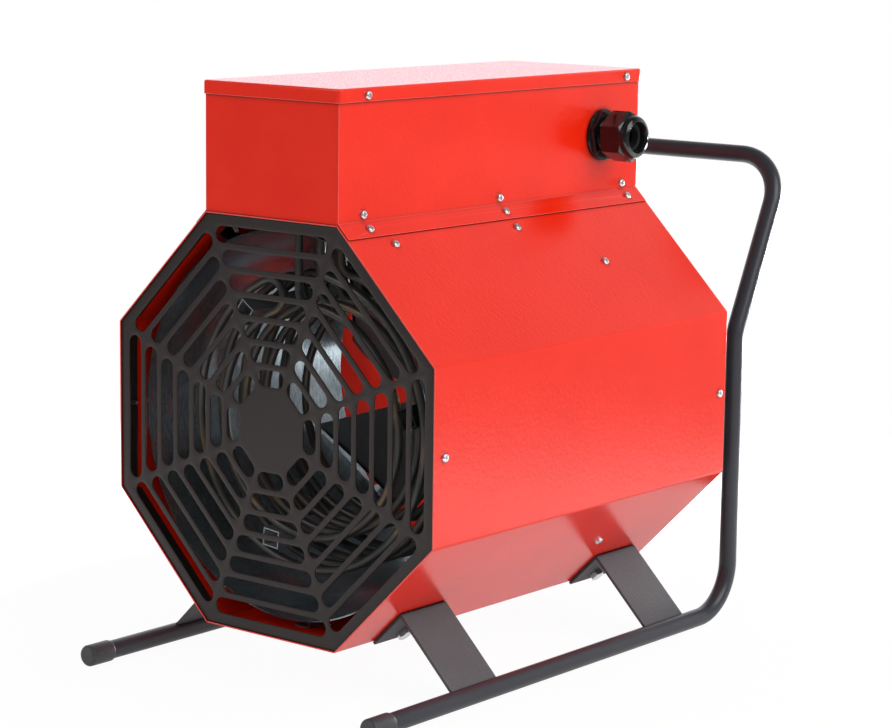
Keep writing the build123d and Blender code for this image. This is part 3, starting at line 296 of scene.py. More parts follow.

# %% [markdown]
# ## Zinc, steel and heat
#
# The duct is galvanised sheet: zinc freezes in flat crystals, each with its own brightness.
# A Voronoi texture has cells like that. Fine streaks lie over them, and near its front and at
# its top the duct is painted darker, as painted shade. The elements are stainless tubes
# that have been red hot, so their sheath has clouds of brown and bronze. The rails between
# them are painted dark on one side, as painted shade. One grey metal could do for all of these,
# but behind the grille the changes of tone tell one from the other. The screws are bright zinc.

# %% Galvanised duct
def galvanised_sheet(name):
    """Zinc with faint crystals about 12 mm wide, fine streaks, and painted shade on the front and
    top.

    Its brightness, which is painted light and shade, is a product of two straight lines: one up in
    Y, and one down in Z."""
    material, tree, shader, place = new_finish(name, Metallic=0.85)
    cells = add(tree, "TexVoronoi", Scale=85.0, Randomness=1.0)
    tree.links.new(place, cells.inputs["Vector"])
    cell = add(tree, "SeparateColor")
    tree.links.new(cells.outputs["Color"], cell.inputs["Color"])
    crystals = ramp(tree, cell.outputs["Red"], (0.0, (0.64, 0.76, 0.81)), (1.0, (0.74, 0.86, 0.91)))
    streaks = grain(tree, place, 0.0025, detail=3.0, stretch=(1, 1, 0.25))
    streaked = ramp(tree, streaks, (0.35, (0.66, 0.70, 0.74)), (0.65, (1, 1, 1)))
    axis = add(tree, "SeparateXYZ")
    tree.links.new(place, axis.inputs[0])
    # Painted shade: the duct is darker near its front and at its top.
    behind_front = spread(tree, axis.outputs["Y"], 0.45, 1.0, -0.18, -0.13)
    below_top = spread(tree, axis.outputs["Z"], 1.0, 0.1, 0.36, 0.40)
    bright = combine(tree, "MULTIPLY", behind_front, below_top)
    painted_shade = ramp(tree, bright, (0.0, (0.09, 0.10, 0.11)), (1.0, (1, 1, 1)))
    colour = tinted(tree, tinted(tree, crystals, streaked), painted_shade)
    tree.links.new(colour, shader.inputs["Base Color"])
    roughness_by(tree, shader, cell.outputs["Green"], (0.20, 0.24), 0.0, 1.0)
    swell = relief(tree, shader, grain(tree, place, 0.03, detail=3.0), 0.00012)
    relief(tree, shader, grain(tree, place, 0.016, stretch=(1, 12, 1)), 0.00001, swell)
    return material


finishes["galvanised_steel"] = galvanised_sheet("galvanised_steel")
print("galvanised_steel wired with", len(finishes["galvanised_steel"].node_tree.nodes), "nodes")


# %% Rails with painted shade, element sheath and bare metals
def rail_sheet_with_painted_shade(name):
    """Zinc of the rails: grey on the left, and painted dark as shade where X is above 2 cm."""
    material, tree, shader, place = new_finish(name, Metallic=0.8, Roughness=0.45)
    axis = add(tree, "SeparateXYZ")
    tree.links.new(place, axis.inputs[0])
    tone = spread(tree, axis.outputs["X"], 0.0, 1.0, -0.02, 0.02)
    # Painted shade: the rails are dark where X is above 2 cm.
    rail_shade = ramp(tree, tone, (0.0, (0.42, 0.45, 0.47)), (1.0, (0.022, 0.020, 0.019)))
    tree.links.new(rail_shade, shader.inputs["Base Color"])
    return material


def heat_tinted_sheath(name):
    """Stainless tube in clouds of brown, bronze and grey oxide."""
    material, tree, shader, place = new_finish(name, Metallic=0.6)
    tint = ramp(
        tree, grain(tree, place, 0.05), (0.34, (0.075, 0.073, 0.072)),
        (0.55, (0.100, 0.090, 0.080)), (0.66, (0.165, 0.115, 0.072)), (0.76, (0.105, 0.088, 0.078)),
    )
    tree.links.new(tint, shader.inputs["Base Color"])
    scale = grain(tree, place, 0.004)
    roughness_by(tree, shader, scale, (0.34, 0.42))
    relief(tree, shader, scale, 0.00001)
    return material


def one_grain(name, dark, light, shine, size, depth, stretch=(1, 1, 1), detail=2.0, **sockets):
    """Finish whose colour, roughness and surface all follow one grain."""
    material, tree, shader, place = new_finish(name, **sockets)
    skin = grain(tree, place, size, detail, stretch)
    tree.links.new(two_tone(tree, skin, dark, light), shader.inputs["Base Color"])
    roughness_by(tree, shader, skin, shine)
    relief(tree, shader, skin, depth)
    return material


finishes["rail_zinc_with_painted_shade"] = rail_sheet_with_painted_shade("rail_zinc_with_painted_shade")
finishes["element_sheath"] = heat_tinted_sheath("element_sheath")
for name, *values in (
    ("zinc_screws", (0.74, 0.75, 0.77), (0.90, 0.91, 0.93), (0.22, 0.36), 0.0012, 0.00003),
    ("bright_steel", (0.52, 0.52, 0.53), (0.66, 0.66, 0.67), (0.16, 0.3), 0.002, 0.00002,
     (1, 8, 1)),
    ("motor_aluminium", (0.36, 0.36, 0.37), (0.50, 0.50, 0.51), (0.42, 0.6), 0.0016, 0.00025),
):
    finishes[name] = one_grain(name, *values, detail=3.0, Metallic=1.0)
print("finishes so far:", len(finishes))

# %% [markdown]
# ## Nylon, rubber, plastic and ceramic
#
# Moulded parts take the surface of their mould: the gland is glossy with faint flow, the feet
# and the seal are matt, and the switch parts have a fine sparked grain. The function of the
# bare metals does for each: one grain that changes colour, roughness and surface together.

# %% Moulded parts
for name, *values in (
    ("black_nylon", (0.006, 0.006, 0.007), (0.010, 0.010, 0.011), (0.13, 0.20), 0.006, 0.00006),
    ("black_rubber", (0.008, 0.008, 0.008), (0.013, 0.013, 0.013), (0.6, 0.8), 0.001, 0.00005),
    ("foot_rubber", (0.042, 0.043, 0.048), (0.060, 0.061, 0.067), (0.36, 0.5), 0.002, 0.00008),
    ("black_plastic", (0.010, 0.010, 0.011), (0.016, 0.016, 0.017), (0.36, 0.5), 0.0008, 0.00006),
    ("grey_plastic", (0.46, 0.47, 0.48), (0.54, 0.55, 0.56), (0.4, 0.55), 0.001, 0.00006),
    ("white_ceramic", (0.74, 0.73, 0.70), (0.82, 0.81, 0.78), (0.12, 0.24), 0.003, 0.00004),
):
    finishes[name] = one_grain(name, *values)
finishes["lamp_lens"] = one_grain(
    "lamp_lens", (0.70, 0.20, 0.03), (0.80, 0.28, 0.05), (0.08, 0.16), 0.004, 0.00003,
    Transmission_Weight=0.35,
)
print("finishes:", len(finishes))

# %% [markdown]
# ## Finishes on the CAD nodes
#
# A CAD node comes with one plain material named after its slot. The finish of the same name
# takes its place. The four straps have the grilles' slot, but their coat is paler and coarser,
# and the rails have the duct's slot, but one side of them is painted dark as shade.

# %% Put the finishes on
for node_name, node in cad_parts.items():
    finish = node.material_slots[0].material.name.split(".")[0]
    if node_name.startswith("leg_bracket"):
        finish = "strap_coat"
    if node_name == "element_rails":
        finish = "rail_zinc_with_painted_shade"
    node.material_slots[0].material = finishes[finish]
print("nodes with a finish:", len(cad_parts))

# %% [markdown]
# ## Soft edges on the box
#
# A fold in sheet has a small radius, so the box and its lid have no sharp edge. The coat's
# material rounds the light on every edge already. The corners of the box stand against the
# white, where the outline itself shows, so they get true roundings too. The CAD triangles are
# loose: a Weld modifier joins them first, and then a narrow Bevel goes along each edge sharper
# than 30 degrees.

# %% Bevels
MM = 0.001

for node_name, width in (("control_box", 0.9), ("box_lid", 0.8)):
    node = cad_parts[node_name]
    weld = node.modifiers.new("weld", "WELD")
    weld.merge_threshold = 0.01 * MM
    bevel = node.modifiers.new("edges", "BEVEL")
    bevel.width = width * MM
    bevel.segments = 2
    bevel.limit_method = "ANGLE"
    bevel.angle_limit = math.radians(30)
    bevel.harden_normals = True
    print(f"{node_name}: edges {width} mm wide")

# %% [markdown]
# ## Helpers for surfaces
#
# Each new piece is a grid of points: one parameter runs along a profile or a route, the other
# runs round. Four neighbours make a face. Where a row shrinks to a point, its points are merged
# into a pole, which closes the end. Blender's own primitives could give a cylinder or a ball,
# but a grid takes any profile, and its size is written in the same millimetres as the CAD model.

# %% From a grid to a piece
MERGE = 0.002 * MM


def grid_faces(rows, columns):
    """Faces of a grid whose last column joins the first: the indices of four neighbours each."""
    index = np.arange(rows * columns).reshape(rows, columns)
    index = np.hstack([index, index[:, :1]])
    corners = (index[:-1, :-1], index[1:, :-1], index[1:, 1:], index[:-1, 1:])
    return np.stack(corners, -1).reshape(-1, 4)


def make_piece(name, grids, slot, stands_for, body="heater", crease=32.0):
    """One piece from grids of copies x rows x columns x 3: merged, turned outwards, finished."""
    points, faces, start = [], [], 0
    for grid in grids:
        copies, rows, columns = grid.shape[:3]
        firsts = start + rows * columns * np.arange(copies)
        faces.append((grid_faces(rows, columns) + firsts[:, None, None]).reshape(-1, 4))
        points.append(grid.reshape(-1, 3))
        start += copies * rows * columns
    mesh = bpy.data.meshes.new(name)
    mesh.from_pydata(np.concatenate(points).tolist(), [], np.concatenate(faces).tolist())
    shell = bmesh.new()
    shell.from_mesh(mesh)
    bmesh.ops.remove_doubles(shell, verts=shell.verts, dist=MERGE)
    bmesh.ops.recalc_face_normals(shell, faces=shell.faces)
    shell.to_mesh(mesh)
    shell.free()
    mesh.shade_smooth()
    mesh.set_sharp_from_angle(angle=math.radians(crease))
    mesh.materials.append(finishes[slot])
    made = bpy.data.objects.new(name, mesh)
    bpy.context.scene.collection.objects.link(made)
    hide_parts(*stands_for)
    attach(made, body)
    print(f"{name}: {len(mesh.polygons)} faces")


# %% Turned forms and tubes
def turned(profile, around):
    """Profile of (radius r, height) turned about Z: r cos a, r sin a and height for each angle a.

    Where the outline isn't round, the radius or the height is an array with a value per angle."""
    rings = []
    for radius, height in profile:
        radius, height = np.broadcast_arrays(radius, height, around)[:2]
        rings.append(np.stack([radius * np.cos(around), radius * np.sin(around), height], -1))
    return np.array(rings)


def sweep(route, radii, sides, reference):
    """Round section carried along a route: route + r (cos a side + sin a other).

    Side and other are square to the direction of travel, which is the mean of the two runs
    that meet at a point. Side is the reference made square to it. A radius of 0 is a pole."""
    runs = np.diff(route, axis=0)
    length = np.linalg.norm(runs, axis=1)
    moves = length > 1e-9
    runs = runs[moves] / length[moves, None]
    bounds = np.cumsum(np.concatenate([[0], moves]))
    travel = runs[np.minimum(bounds, len(runs) - 1)] + runs[np.maximum(bounds - 1, 0)]
    travel /= np.linalg.norm(travel, axis=1, keepdims=True)
    side = reference - np.sum(reference * travel, 1, keepdims=True) * travel
    side /= np.linalg.norm(side, axis=1, keepdims=True)
    other = np.cross(travel, side)
    a = np.linspace(0, 2 * np.pi, sides, endpoint=False)[:, None]
    ring = np.cos(a) * side[:, None] + np.sin(a) * other[:, None]
    return route[:, None] + radii[:, None, None] * ring


def closed_tube(route, radius, sides, reference):
    """Tube of one radius along a route; its ends come twice, the second time with radius 0."""
    ends = ((1, 1), (0, 0))
    reference = np.pad(np.broadcast_to(reference, route.shape), ends, mode="edge")
    radii = np.pad(np.full(len(route), radius), 1)
    return sweep(np.pad(route, ends, mode="edge"), radii, sides, reference)[None]


# %% [markdown]
# ## The tube frame
#
# One steel tube is bent six times: two skids on the floor, two uprights behind the casing that
# lean back, and the bar that serves as a handle. On a real bench each bend is an arc that
# touches both straight runs. So the route is a list of corners and bend radii, and the arcs are
# worked out. A circle carried along it gives the tube. A curve with a bevel would do the same,
# but its bends would follow handles and not the radii of a bench.

# %% Route of the tube
FRONT_Y = -268.35 * MM          # front edge of the casing
AXIS_Z = 249.5 * MM             # axis of the casing, the elements and the fan

# From here on sizes are in millimetres, as in the CAD model, until MM makes them metres.
SKID_X, CAP_RADIUS, TUBE_RADIUS = 181.0, 10.5, 9.0
SKID_FRONT, UPRIGHT_Y, LEAN_FROM = -331.3, 241.65, 304.0
HANDLE_Y, HANDLE_Z = 325.35, 480.0
BENDS = np.array([52, 40, 52, 52, 40, 52]) * MM


def bent_route(corners, radii, turn_step=math.radians(5)):
    """Points along straight runs with an arc at each inner corner.

    With the unit runs a and b, their angle t and the radius r, the arc starts r tan(t/2) before
    the corner and is start + r (sin q a + (1 - cos q) n), where n is b made square to a."""
    pieces = [corners[:1]]
    for before, corner, after, radius in zip(corners, corners[1:], corners[2:], radii):
        a = (corner - before) / np.linalg.norm(corner - before)
        b = (after - corner) / np.linalg.norm(after - corner)
        angle = math.acos(np.clip(a @ b, -1, 1))
        normal = (b - a * (a @ b)) / math.sin(angle)
        start = corner - a * radius * math.tan(angle / 2)
        q = np.linspace(0, angle, math.ceil(angle / turn_step) + 1)[:, None]
        pieces.append(start + radius * (np.sin(q) * a + (1 - np.cos(q)) * normal))
    return np.concatenate([*pieces, corners[-1:]])


# %% Tube frame
half_route = np.array([
    (SKID_X, SKID_FRONT, CAP_RADIUS), (SKID_X, UPRIGHT_Y, CAP_RADIUS),
    (SKID_X, UPRIGHT_Y, LEAN_FROM), (SKID_X, HANDLE_Y, HANDLE_Z),
]) * MM
frame_corners = np.concatenate([half_route, half_route[::-1] * (-1, 1, 1)])
frame_route = bent_route(frame_corners, BENDS)
loop_middle = np.array([0.0, -0.05, 0.25])
tube = closed_tube(frame_route, TUBE_RADIUS * MM, 40, frame_route - loop_middle)
make_piece("tube_frame", [tube], "black_tube_coat", ["frame_tube"])

# %% [markdown]
# ## The feet
#
# A rubber cap is pushed over each end of the skids. It is a turned form: a rounded nose, a
# side with a slight draft, and a soft lip where it ends on the tube. So its profile is a list
# of radii and heights, turned about the skid.

# %% Foot caps
CAP_FRONT, NOSE = -334.35, 3.2

quarter = np.linspace(0, np.pi / 2, 7)
nose = np.stack([CAP_RADIUS - NOSE + NOSE * np.sin(quarter), NOSE * (1 - np.cos(quarter))], -1)
lip = np.array([
    (10.5, 27.9), (10.42, 28.7), (10.15, 29.5), (9.7, 29.95), (9.2, 30.0), (9.05, 29.8),
    (9.05, 3.0), (0, 3.0),
])
cap_profile = np.concatenate([[(0, 0.25), (4.5, 0.1), (6.6, 0.0)], nose, lip])
cap = turned(cap_profile, np.linspace(0, 2 * np.pi, 56, endpoint=False))
for side_name, side in (("left", -1), ("right", 1)):
    x, y, z = cap[..., 0] + side * SKID_X, cap[..., 2] + CAP_FRONT, cap[..., 1] + CAP_RADIUS
    placed = np.stack([x, y, z], -1)[None] * MM
    make_piece(f"rubber_cap_{side_name}", [placed], "foot_rubber", [f"foot_cap_{side_name}"])

# %% [markdown]
# ## The heating elements
#
# Each element is one sheathed tube: down through the casing, once round near the duct, back in
# a hairpin, once round inside, and up again. In its own plane it is a chain of arcs that touch,
# each with a centre, a radius, and the angles where it starts and ends. The route is written
# once and stands five times behind the grille, one pitch further back each time.

# %% Route of an element
OUTER, INNER, HAIRPIN = 143.2, 111.7, 113.0
LEG, LEG_TURN, LEG_TOP = 14.0, 14.0, 224.0


def in_casing(x, depth, z):
    """Points in metres from x and z round the axis and the depth behind the front edge, in mm."""
    x, depth, z = np.broadcast_arrays(x, depth, z)
    return np.stack([x * MM, FRONT_Y + depth * MM, AXIS_Z + z * MM], -1)


def arc(centre, radius, start, end, step=4.0):
    """Arc as centre + r (cos q, sin q), at even angles q from start to end, in degrees."""
    q = np.radians(np.linspace(start, end, math.ceil(abs(end - start) / step) + 1))
    return np.array(centre) + radius * np.stack([np.cos(q), np.sin(q)], -1)


leg_centre = (LEG + LEG_TURN, math.sqrt((OUTER + LEG_TURN) ** 2 - (LEG + LEG_TURN) ** 2))
leg_angle = math.degrees(math.atan2(leg_centre[1], leg_centre[0]))
hairpin_way = np.array([math.cos(math.radians(HAIRPIN)), math.sin(math.radians(HAIRPIN))])
ring_line = np.concatenate([
    [(LEG, LEG_TOP)],
    arc(leg_centre, LEG_TURN, 180, 180 + leg_angle, 12),
    arc((0, 0), OUTER, leg_angle, HAIRPIN - 360)[1:],
    arc((OUTER + INNER) / 2 * hairpin_way, (OUTER - INNER) / 2, HAIRPIN, HAIRPIN - 180, 12)[1:],
    arc((0, 0), INNER, HAIRPIN - 360, 90)[1:],
    arc((0, INNER + LEG_TURN), LEG_TURN, 270, 180, 12)[1:],
    [(-LEG, LEG_TOP)],
])
print("points along an element:", len(ring_line))

# %% Heating elements
FIRST_RING, RING_PITCH, SHEATH_RADIUS = 55.603, 29.4, 4.25

for number in range(5):
    line = in_casing(ring_line[:, 0], FIRST_RING + RING_PITCH * number, ring_line[:, 1])
    sheath = closed_tube(line, SHEATH_RADIUS * MM, 16, (0.0, 1.0, 0.0))
    make_piece(
        f"ring_element_{number + 1}", [sheath], "element_sheath", [f"heating_element_{number + 1}"]
    )

# %% [markdown]
# ## The fan
#
# A blade is a twisted sheet with a hollow face. At each distance r from the axis a line runs
# from the front edge to the rear edge, and the sheet rises over it like 4 t (1 - t). Both edges
# lie on parabolas in r, and the tip is cut where r^2 + y^2 is the fan's radius squared. One
# blade, turned six times round the hub, makes the wheel. The CAD wheel has five blades, but the
# two that the photograph shows stand 60 degrees apart, so here it has six. The blades catch the
# light that comes through the grille, so they are smooth grids and not bent boxes.

# %% A blade
FAN_RADIUS, FAN_DEPTH, FAN_FRONT = 182.0, 63.0, 260.0
BLADE_SHEET, BLADE_ROOT, CAMBER = 2.0, 38.0, 0.07
reach_at = np.array([0.2, 0.57, 1.05]) * FAN_RADIUS
front_edge = np.polyfit(reach_at, np.array([0.076, 0.207, 0.382]) * FAN_RADIUS, 2)
rear_edge = np.polyfit(reach_at, np.array([0.124, 0.284, 0.21]) * FAN_RADIUS, 2)


def blade_point(reach, t, lift):
    """Points of a blade at the share t from its front edge to its rear edge.

    They are front + t chord + (camber length 4 t (1 - t) + lift) n, with n square to the chord."""
    front, rear = -np.polyval(front_edge, reach), np.polyval(rear_edge, reach)
    chord = np.stack([rear - front, np.full_like(reach, -FAN_DEPTH)], -1)
    length = np.linalg.norm(chord, axis=-1)
    rise = CAMBER * length * 4 * t * (1 - t) + lift
    y = front + t * chord[..., 0] + rise * chord[..., 1] / length
    z = t * chord[..., 1] - rise * chord[..., 0] / length
    return np.stack([reach, y, z], -1)


def blade_face(lift):
    """Grid of one face of the blade, from the root to the round tip.

    The tip is at the square root of R^2 - y^2. Because y depends on it, it is found in a few
    rounds: each takes the y of the round before."""
    share, t = np.meshgrid(np.linspace(0, 1, 25), np.linspace(0, 1, 29), indexing="ij")
    tip = np.full_like(t, FAN_RADIUS)
    for _ in range(12):
        tip = np.sqrt(FAN_RADIUS**2 - blade_point(tip, t, lift)[..., 1] ** 2)
    return blade_point(BLADE_ROOT + share * (tip - BLADE_ROOT), t, lift)


across = np.concatenate([blade_face(0.0), blade_face(BLADE_SHEET)[:, ::-1]], 1)
root, tip = (np.broadcast_to(row.mean(0), row.shape)[None] for row in (across[0], across[-1]))
blade = np.concatenate([root, across, tip])
print("rows and columns of a blade:", blade.shape[:2])

# %% Fan wheel
BLADES, FIRST_BLADE = 6, 217.49

wheel = []
for number in range(BLADES):
    q = math.radians(FIRST_BLADE + 360.0 / BLADES * number)
    x = math.cos(q) * blade[..., 0] - math.sin(q) * blade[..., 1]
    z = math.sin(q) * blade[..., 0] + math.cos(q) * blade[..., 1]
    wheel.append(in_casing(x, FAN_FRONT - blade[..., 2], z))
q = np.linspace(0, np.pi / 2, 8)
hub_profile = [
    (0, 2.0), (18.0, 2.0), *zip(36.0 + 10.0 * np.sin(q), 12.0 - 10.0 * np.cos(q)),
    (46.0, 62.4), (45.4, 63.0), (42.6, 63.0), (42.0, 62.4), (42.0, 29.0), (14.0, 29.0),
    (14.0, 62.6), (13.6, 63.0), (6.0, 63.0), (6.0, 8.0), (0, 8.0),
]
hub = turned(hub_profile, np.linspace(0, 2 * np.pi, 96, endpoint=False))
hub = in_casing(hub[..., 0], FAN_FRONT + hub[..., 2], hub[..., 1])
make_piece("bladed_wheel", [np.array(wheel), hub[None]], "black_fan_coat", ["fan_wheel"], "fan")

# %% [markdown]
# ## The screws
#
# The sheets are held by pan-head screws with a cross recess. The top of a head is a polar grid:
# rings go inwards from the rim over the rounded edge, then take the outline of the cross, go
# down into it, and end in a pole. The outline is a radius that depends on the angle. Cutting
# the cross with a Boolean would leave long, thin faces in the rounding, and a grid doesn't.

# %% Places on the casing
HALF_WIDTH = 200.0


def facet_places(rows):
    """Origins and axes (along Y, along the facet, outwards) of places on the casing's facets.

    A row is the angle a of the facet, the distance out, the distance along and the depth from
    the front edge. The place is out (cos a, sin a) + along (-sin a, cos a) round the axis."""
    angle, out, along, depth = np.array(rows, float).T
    angle = np.radians(angle)
    normal = np.stack([np.cos(angle), 0 * angle, np.sin(angle)], -1)
    slope = np.stack([-np.sin(angle), 0 * angle, np.cos(angle)], -1)
    flat = out[:, None] * normal + along[:, None] * slope
    length = np.broadcast_to((0.0, 1.0, 0.0), normal.shape)
    return in_casing(flat[:, 0], depth, flat[:, 2]), np.stack([length, slope, normal], -2)


def both_sides(angle, out, along, *depths):
    """The same places on the right and, with 180 - angle and -along, on the left."""
    right = [(angle, out, along, depth) for depth in depths]
    return right + [(180 - angle, out, -along, depth) for depth in depths]


def stand_on(form, rows, twist=0.0):
    """Copies of a form that stands on Z = 0, one on each place, each turned by its own angle.

    A point is origin + (x cos s - y sin s) length + (x sin s + y cos s) slope + z normal."""
    origin, axes = facet_places(rows)
    spin = twist * np.arange(len(rows))
    c, s = np.cos(spin)[:, None, None], np.sin(spin)[:, None, None]
    x, y, z = np.moveaxis(form, -1, 0)
    height = np.broadcast_to(z, (len(rows), *z.shape))
    local = np.stack([c * x - s * y, s * x + c * y, height], -1)
    return origin[:, None, None] + np.einsum("krci,kij->krcj", local, axes)


# %% A pan head with its cross
HEAD, HEAD_FLAT, HEAD_RIM, CROWN_TOP, HEAD_HEIGHT = 4.1, 2.5, 0.7, 2.55, 2.6
SHANK, SHANK_TIP = 2.1, 1.2
WING, WING_HALF = 2.15, 0.52

corner = math.atan2(WING_HALF, WING)
octant = np.array([0.0, corner * 0.6, corner, (corner + np.pi / 4) / 2])
quadrant = np.concatenate([octant, [np.pi / 4], np.pi / 2 - octant[:0:-1]])
around = np.concatenate([quadrant + turn for turn in np.arange(4) * np.pi / 2])
folded = np.abs((around + np.pi / 4) % (np.pi / 2) - np.pi / 4)
wing_side = WING_HALF / np.maximum(np.sin(folded), 1e-3)
cross = np.where(folded <= corner + 1e-9, WING / np.cos(folded), wing_side)
crown = [
    (HEAD_FLAT + (HEAD - HEAD_FLAT) * math.cos(q), HEAD_RIM + (CROWN_TOP - HEAD_RIM) * math.sin(q))
    for q in np.linspace(0, np.pi / 2, 6)[1:]
]
screw_profile = [
    (0, -9.0), (SHANK_TIP, -9.0), (SHANK, -7.5), (SHANK, 0.0), (HEAD, 0.0), (HEAD, HEAD_RIM),
    *crown, (cross, HEAD_HEIGHT), (cross * 0.94, HEAD_HEIGHT - 0.12),
    (cross * 0.62, HEAD_HEIGHT - 1.5), (0, HEAD_HEIGHT - 1.8),
]
pan_head = turned(screw_profile, around) * MM
print("rings and columns of a screw:", pan_head.shape[:2])

# %% Screws in their places
LID_SIDE, BOX_SIDE, SKIRT_FACE = 85.34, 83.34, 201.2

screw_groups = {
    "lid_screws": both_sides(0, LID_SIDE, 316.4, 38.5, 440.0),
    "box_base_screws": both_sides(0, BOX_SIDE, 207.5, 35.0, 236.5, 438.0),
    "box_skirt_screws": both_sides(45, SKIRT_FACE, 73.84, 37.0, 238.5, 440.0),
    "duct_screws": both_sides(45, HALF_WIDTH, 54.44, 58.0, 240.0)
    + [(-90, HALF_WIDTH, 0, 58.0), (-90, HALF_WIDTH, 0, 240.0)],
    "motor_bracket_screws": both_sides(45, HALF_WIDTH, 0, 333.0)
    + both_sides(-45, HALF_WIDTH, 0, 333.0),
    "grille_screws": both_sides(0, HALF_WIDTH, 0, 14.5, 455.0),
}
for group, rows in screw_groups.items():
    make_piece(f"pan_heads_{group}", [stand_on(pan_head, rows, 0.7)], "zinc_screws", [group])

# %% [markdown]
# ## The bolts of the straps
#
# A hexagon bolt has a flat, round bearing circle on top, and its corners are cut by a cone. The
# hexagon is a radius that depends on the angle, and the cone lowers the edge where it is larger,
# so the curved edges of a real bolt come by themselves.

# %% Hexagon bolts
BOLT_FLATS, BOLT_CIRCLE, BOLT_TOP, CONE = 13.0, 6.05, 5.4, math.radians(28)


def hexagon(q, across_flats):
    """Radius of a hexagon at the angle q: half its width, over the cosine from the next flat."""
    return across_flats / 2 / np.cos(q % (np.pi / 3) - np.pi / 6)


bolt_turn = np.linspace(0, 2 * np.pi, 48, endpoint=False)
hex_radius = hexagon(bolt_turn, BOLT_FLATS)
edge_top = BOLT_TOP - (hex_radius - BOLT_CIRCLE) * math.tan(CONE)
bolt_profile = [
    (0, -17.9), (3.2, -17.9), (4.0, -17.0), (4.0, 0.1), (hex_radius, 0.1), (hex_radius, edge_top),
    (BOLT_CIRCLE, BOLT_TOP), (5.3, BOLT_TOP), (5.0, 5.15), (0, 5.15),
]
bolt = turned(bolt_profile, bolt_turn) * MM
strap_places = both_sides(-45, 203.1, -73.14, 88.0, 397.0)
make_piece("strap_bolts", [stand_on(bolt, strap_places, 0.35)], "zinc_screws", ["leg_bolts"])

# %% [markdown]
# ## The cable gland
#
# The gland is turned and milled nylon in three parts: a body with a round foot and a hexagon, a
# dome nut on its threaded neck, and a rubber seal in the mouth. Where a hexagon meets a cone,
# each point takes the smaller of the two radii, and the curved edges of the real nut appear.
# The hexagons of body and nut are turned against each other, as hand-tightened ones are.

# %% Profiles on the gland's axis
GLAND_Y, GLAND_Z, GLAND_FLATS = 134.65, 508.5, 45.0
gland_turn = np.linspace(0, 2 * np.pi, 96, endpoint=False)
gland_hex = hexagon(gland_turn, GLAND_FLATS)


def on_box_side(profile, corner):
    """The turned profile on the gland's axis, which leaves the box along +X.

    Its height is added to the side of the box, and its x and y to the axis's y and z. One corner
    of the hexagons is at that angle in degrees, up from the rear."""
    form = turned(profile, gland_turn + math.radians(corner))
    x, y, z = BOX_SIDE + form[..., 2], GLAND_Y + form[..., 0], GLAND_Z + form[..., 1]
    return np.stack([x, y, z], -1)[None] * MM


def cut_hex(*steps):
    """At each height the smaller of two radii: the hexagon's, and that of the cone."""
    return [(np.minimum(gland_hex, radius), height) for radius, height in steps]


# %% Cable gland
FOOT, BORE, NECK, SLEEVE_END = 25.9, 13.5, 14.5, 28.5
MOUTH, THREAD_BORE = 14.5, 17.55

thread = [(17.5 - 0.7 * (k % 2), 8.0 + 0.75 * k) for k in range(9)]
body_profile = [
    (BORE, SLEEVE_END), (BORE, -15.0), (17.9, -15.0), (18.5, -14.4), (18.5, 0.05),
    (FOOT - 0.3, 0.05), (FOOT, 0.35), (FOOT, 2.5), (FOOT - 0.4, 2.95),
    *cut_hex((24.6, 3.0), (25.4, 3.6), (25.4, 6.5), (24.2, 7.5)),
    (17.5, 7.5), *thread, (17.5, NECK), (17.5, SLEEVE_END), (BORE, SLEEVE_END),
]
make_piece("gland_base", [on_box_side(body_profile, 46)], "black_nylon", ["cable_gland_body"])

cone = [(22.4 + 1.6 * (38.3 - h), h) for h in (35.4, 35.8, 36.2, 36.6, 37.0, 37.4, 37.8, 38.3)]
q = np.linspace(0, 1, 12)
nut_profile = [
    (MOUTH, SLEEVE_END + 0.1), (THREAD_BORE, SLEEVE_END + 0.1), (THREAD_BORE, NECK),
    *cut_hex((24.2, NECK), (25.7, 15.3), *cone),
    *zip(17.4 + 4.5 * np.sqrt(1 - q**2.2), 38.4 + 6.6 * q),
    (16.9, 45.35), (16.4, 45.5), (15.9, 45.3), (15.3, 44.3), (14.8, 42.8), (MOUTH, 42.0),
    (MOUTH, SLEEVE_END + 0.1),
]
make_piece("gland_dome_nut", [on_box_side(nut_profile, 35)], "black_nylon", ["cable_gland_nut"])

seal_profile = [
    (11.5, 28.7), (14.4, 28.7), (14.4, 37.0), (14.1, 37.5), (12.1, 37.5), (11.5, 36.8),
    (11.5, 28.7),
]
seal = on_box_side(seal_profile, 0)
make_piece("gland_sealing_ring", [seal], "black_rubber", ["cable_gland_seal"])

# %% [markdown]
# ## The grilles
#
# A laser cuts seven rings of slots into an octagonal plate, eight slots to a ring, so that the
# metal left between them looks like a web. One slot and the metal round it is a cell: a grid
# that runs round the slot, and from the cell's border on the front face, over the bevelled
# edge, down the wall of the slot, and back out to the border on the rear face. The cells of one
# sector, turned eight times, share their border points and merge into one plate. A Boolean with
# 56 slots would give long triangles, on which the edges can't be rounded.

# %% Flat outlines of the web
FLAT_POINTS, ROUND_POINTS = 6, 10
SLOT_ROUND, SPOKE = 8.0, 7.5
EIGHTH = math.tan(math.radians(22.5))


def around_axis(flat):
    """Copies x ... x 2 of flat points, turned by each eighth of a turn."""
    turn = np.radians(45.0 * np.arange(8))
    c, s = np.cos(turn)[:, None, None], np.sin(turn)[:, None, None]
    return np.stack([c * flat[..., 0] - s * flat[..., 1], s * flat[..., 0] + c * flat[..., 1]], -1)


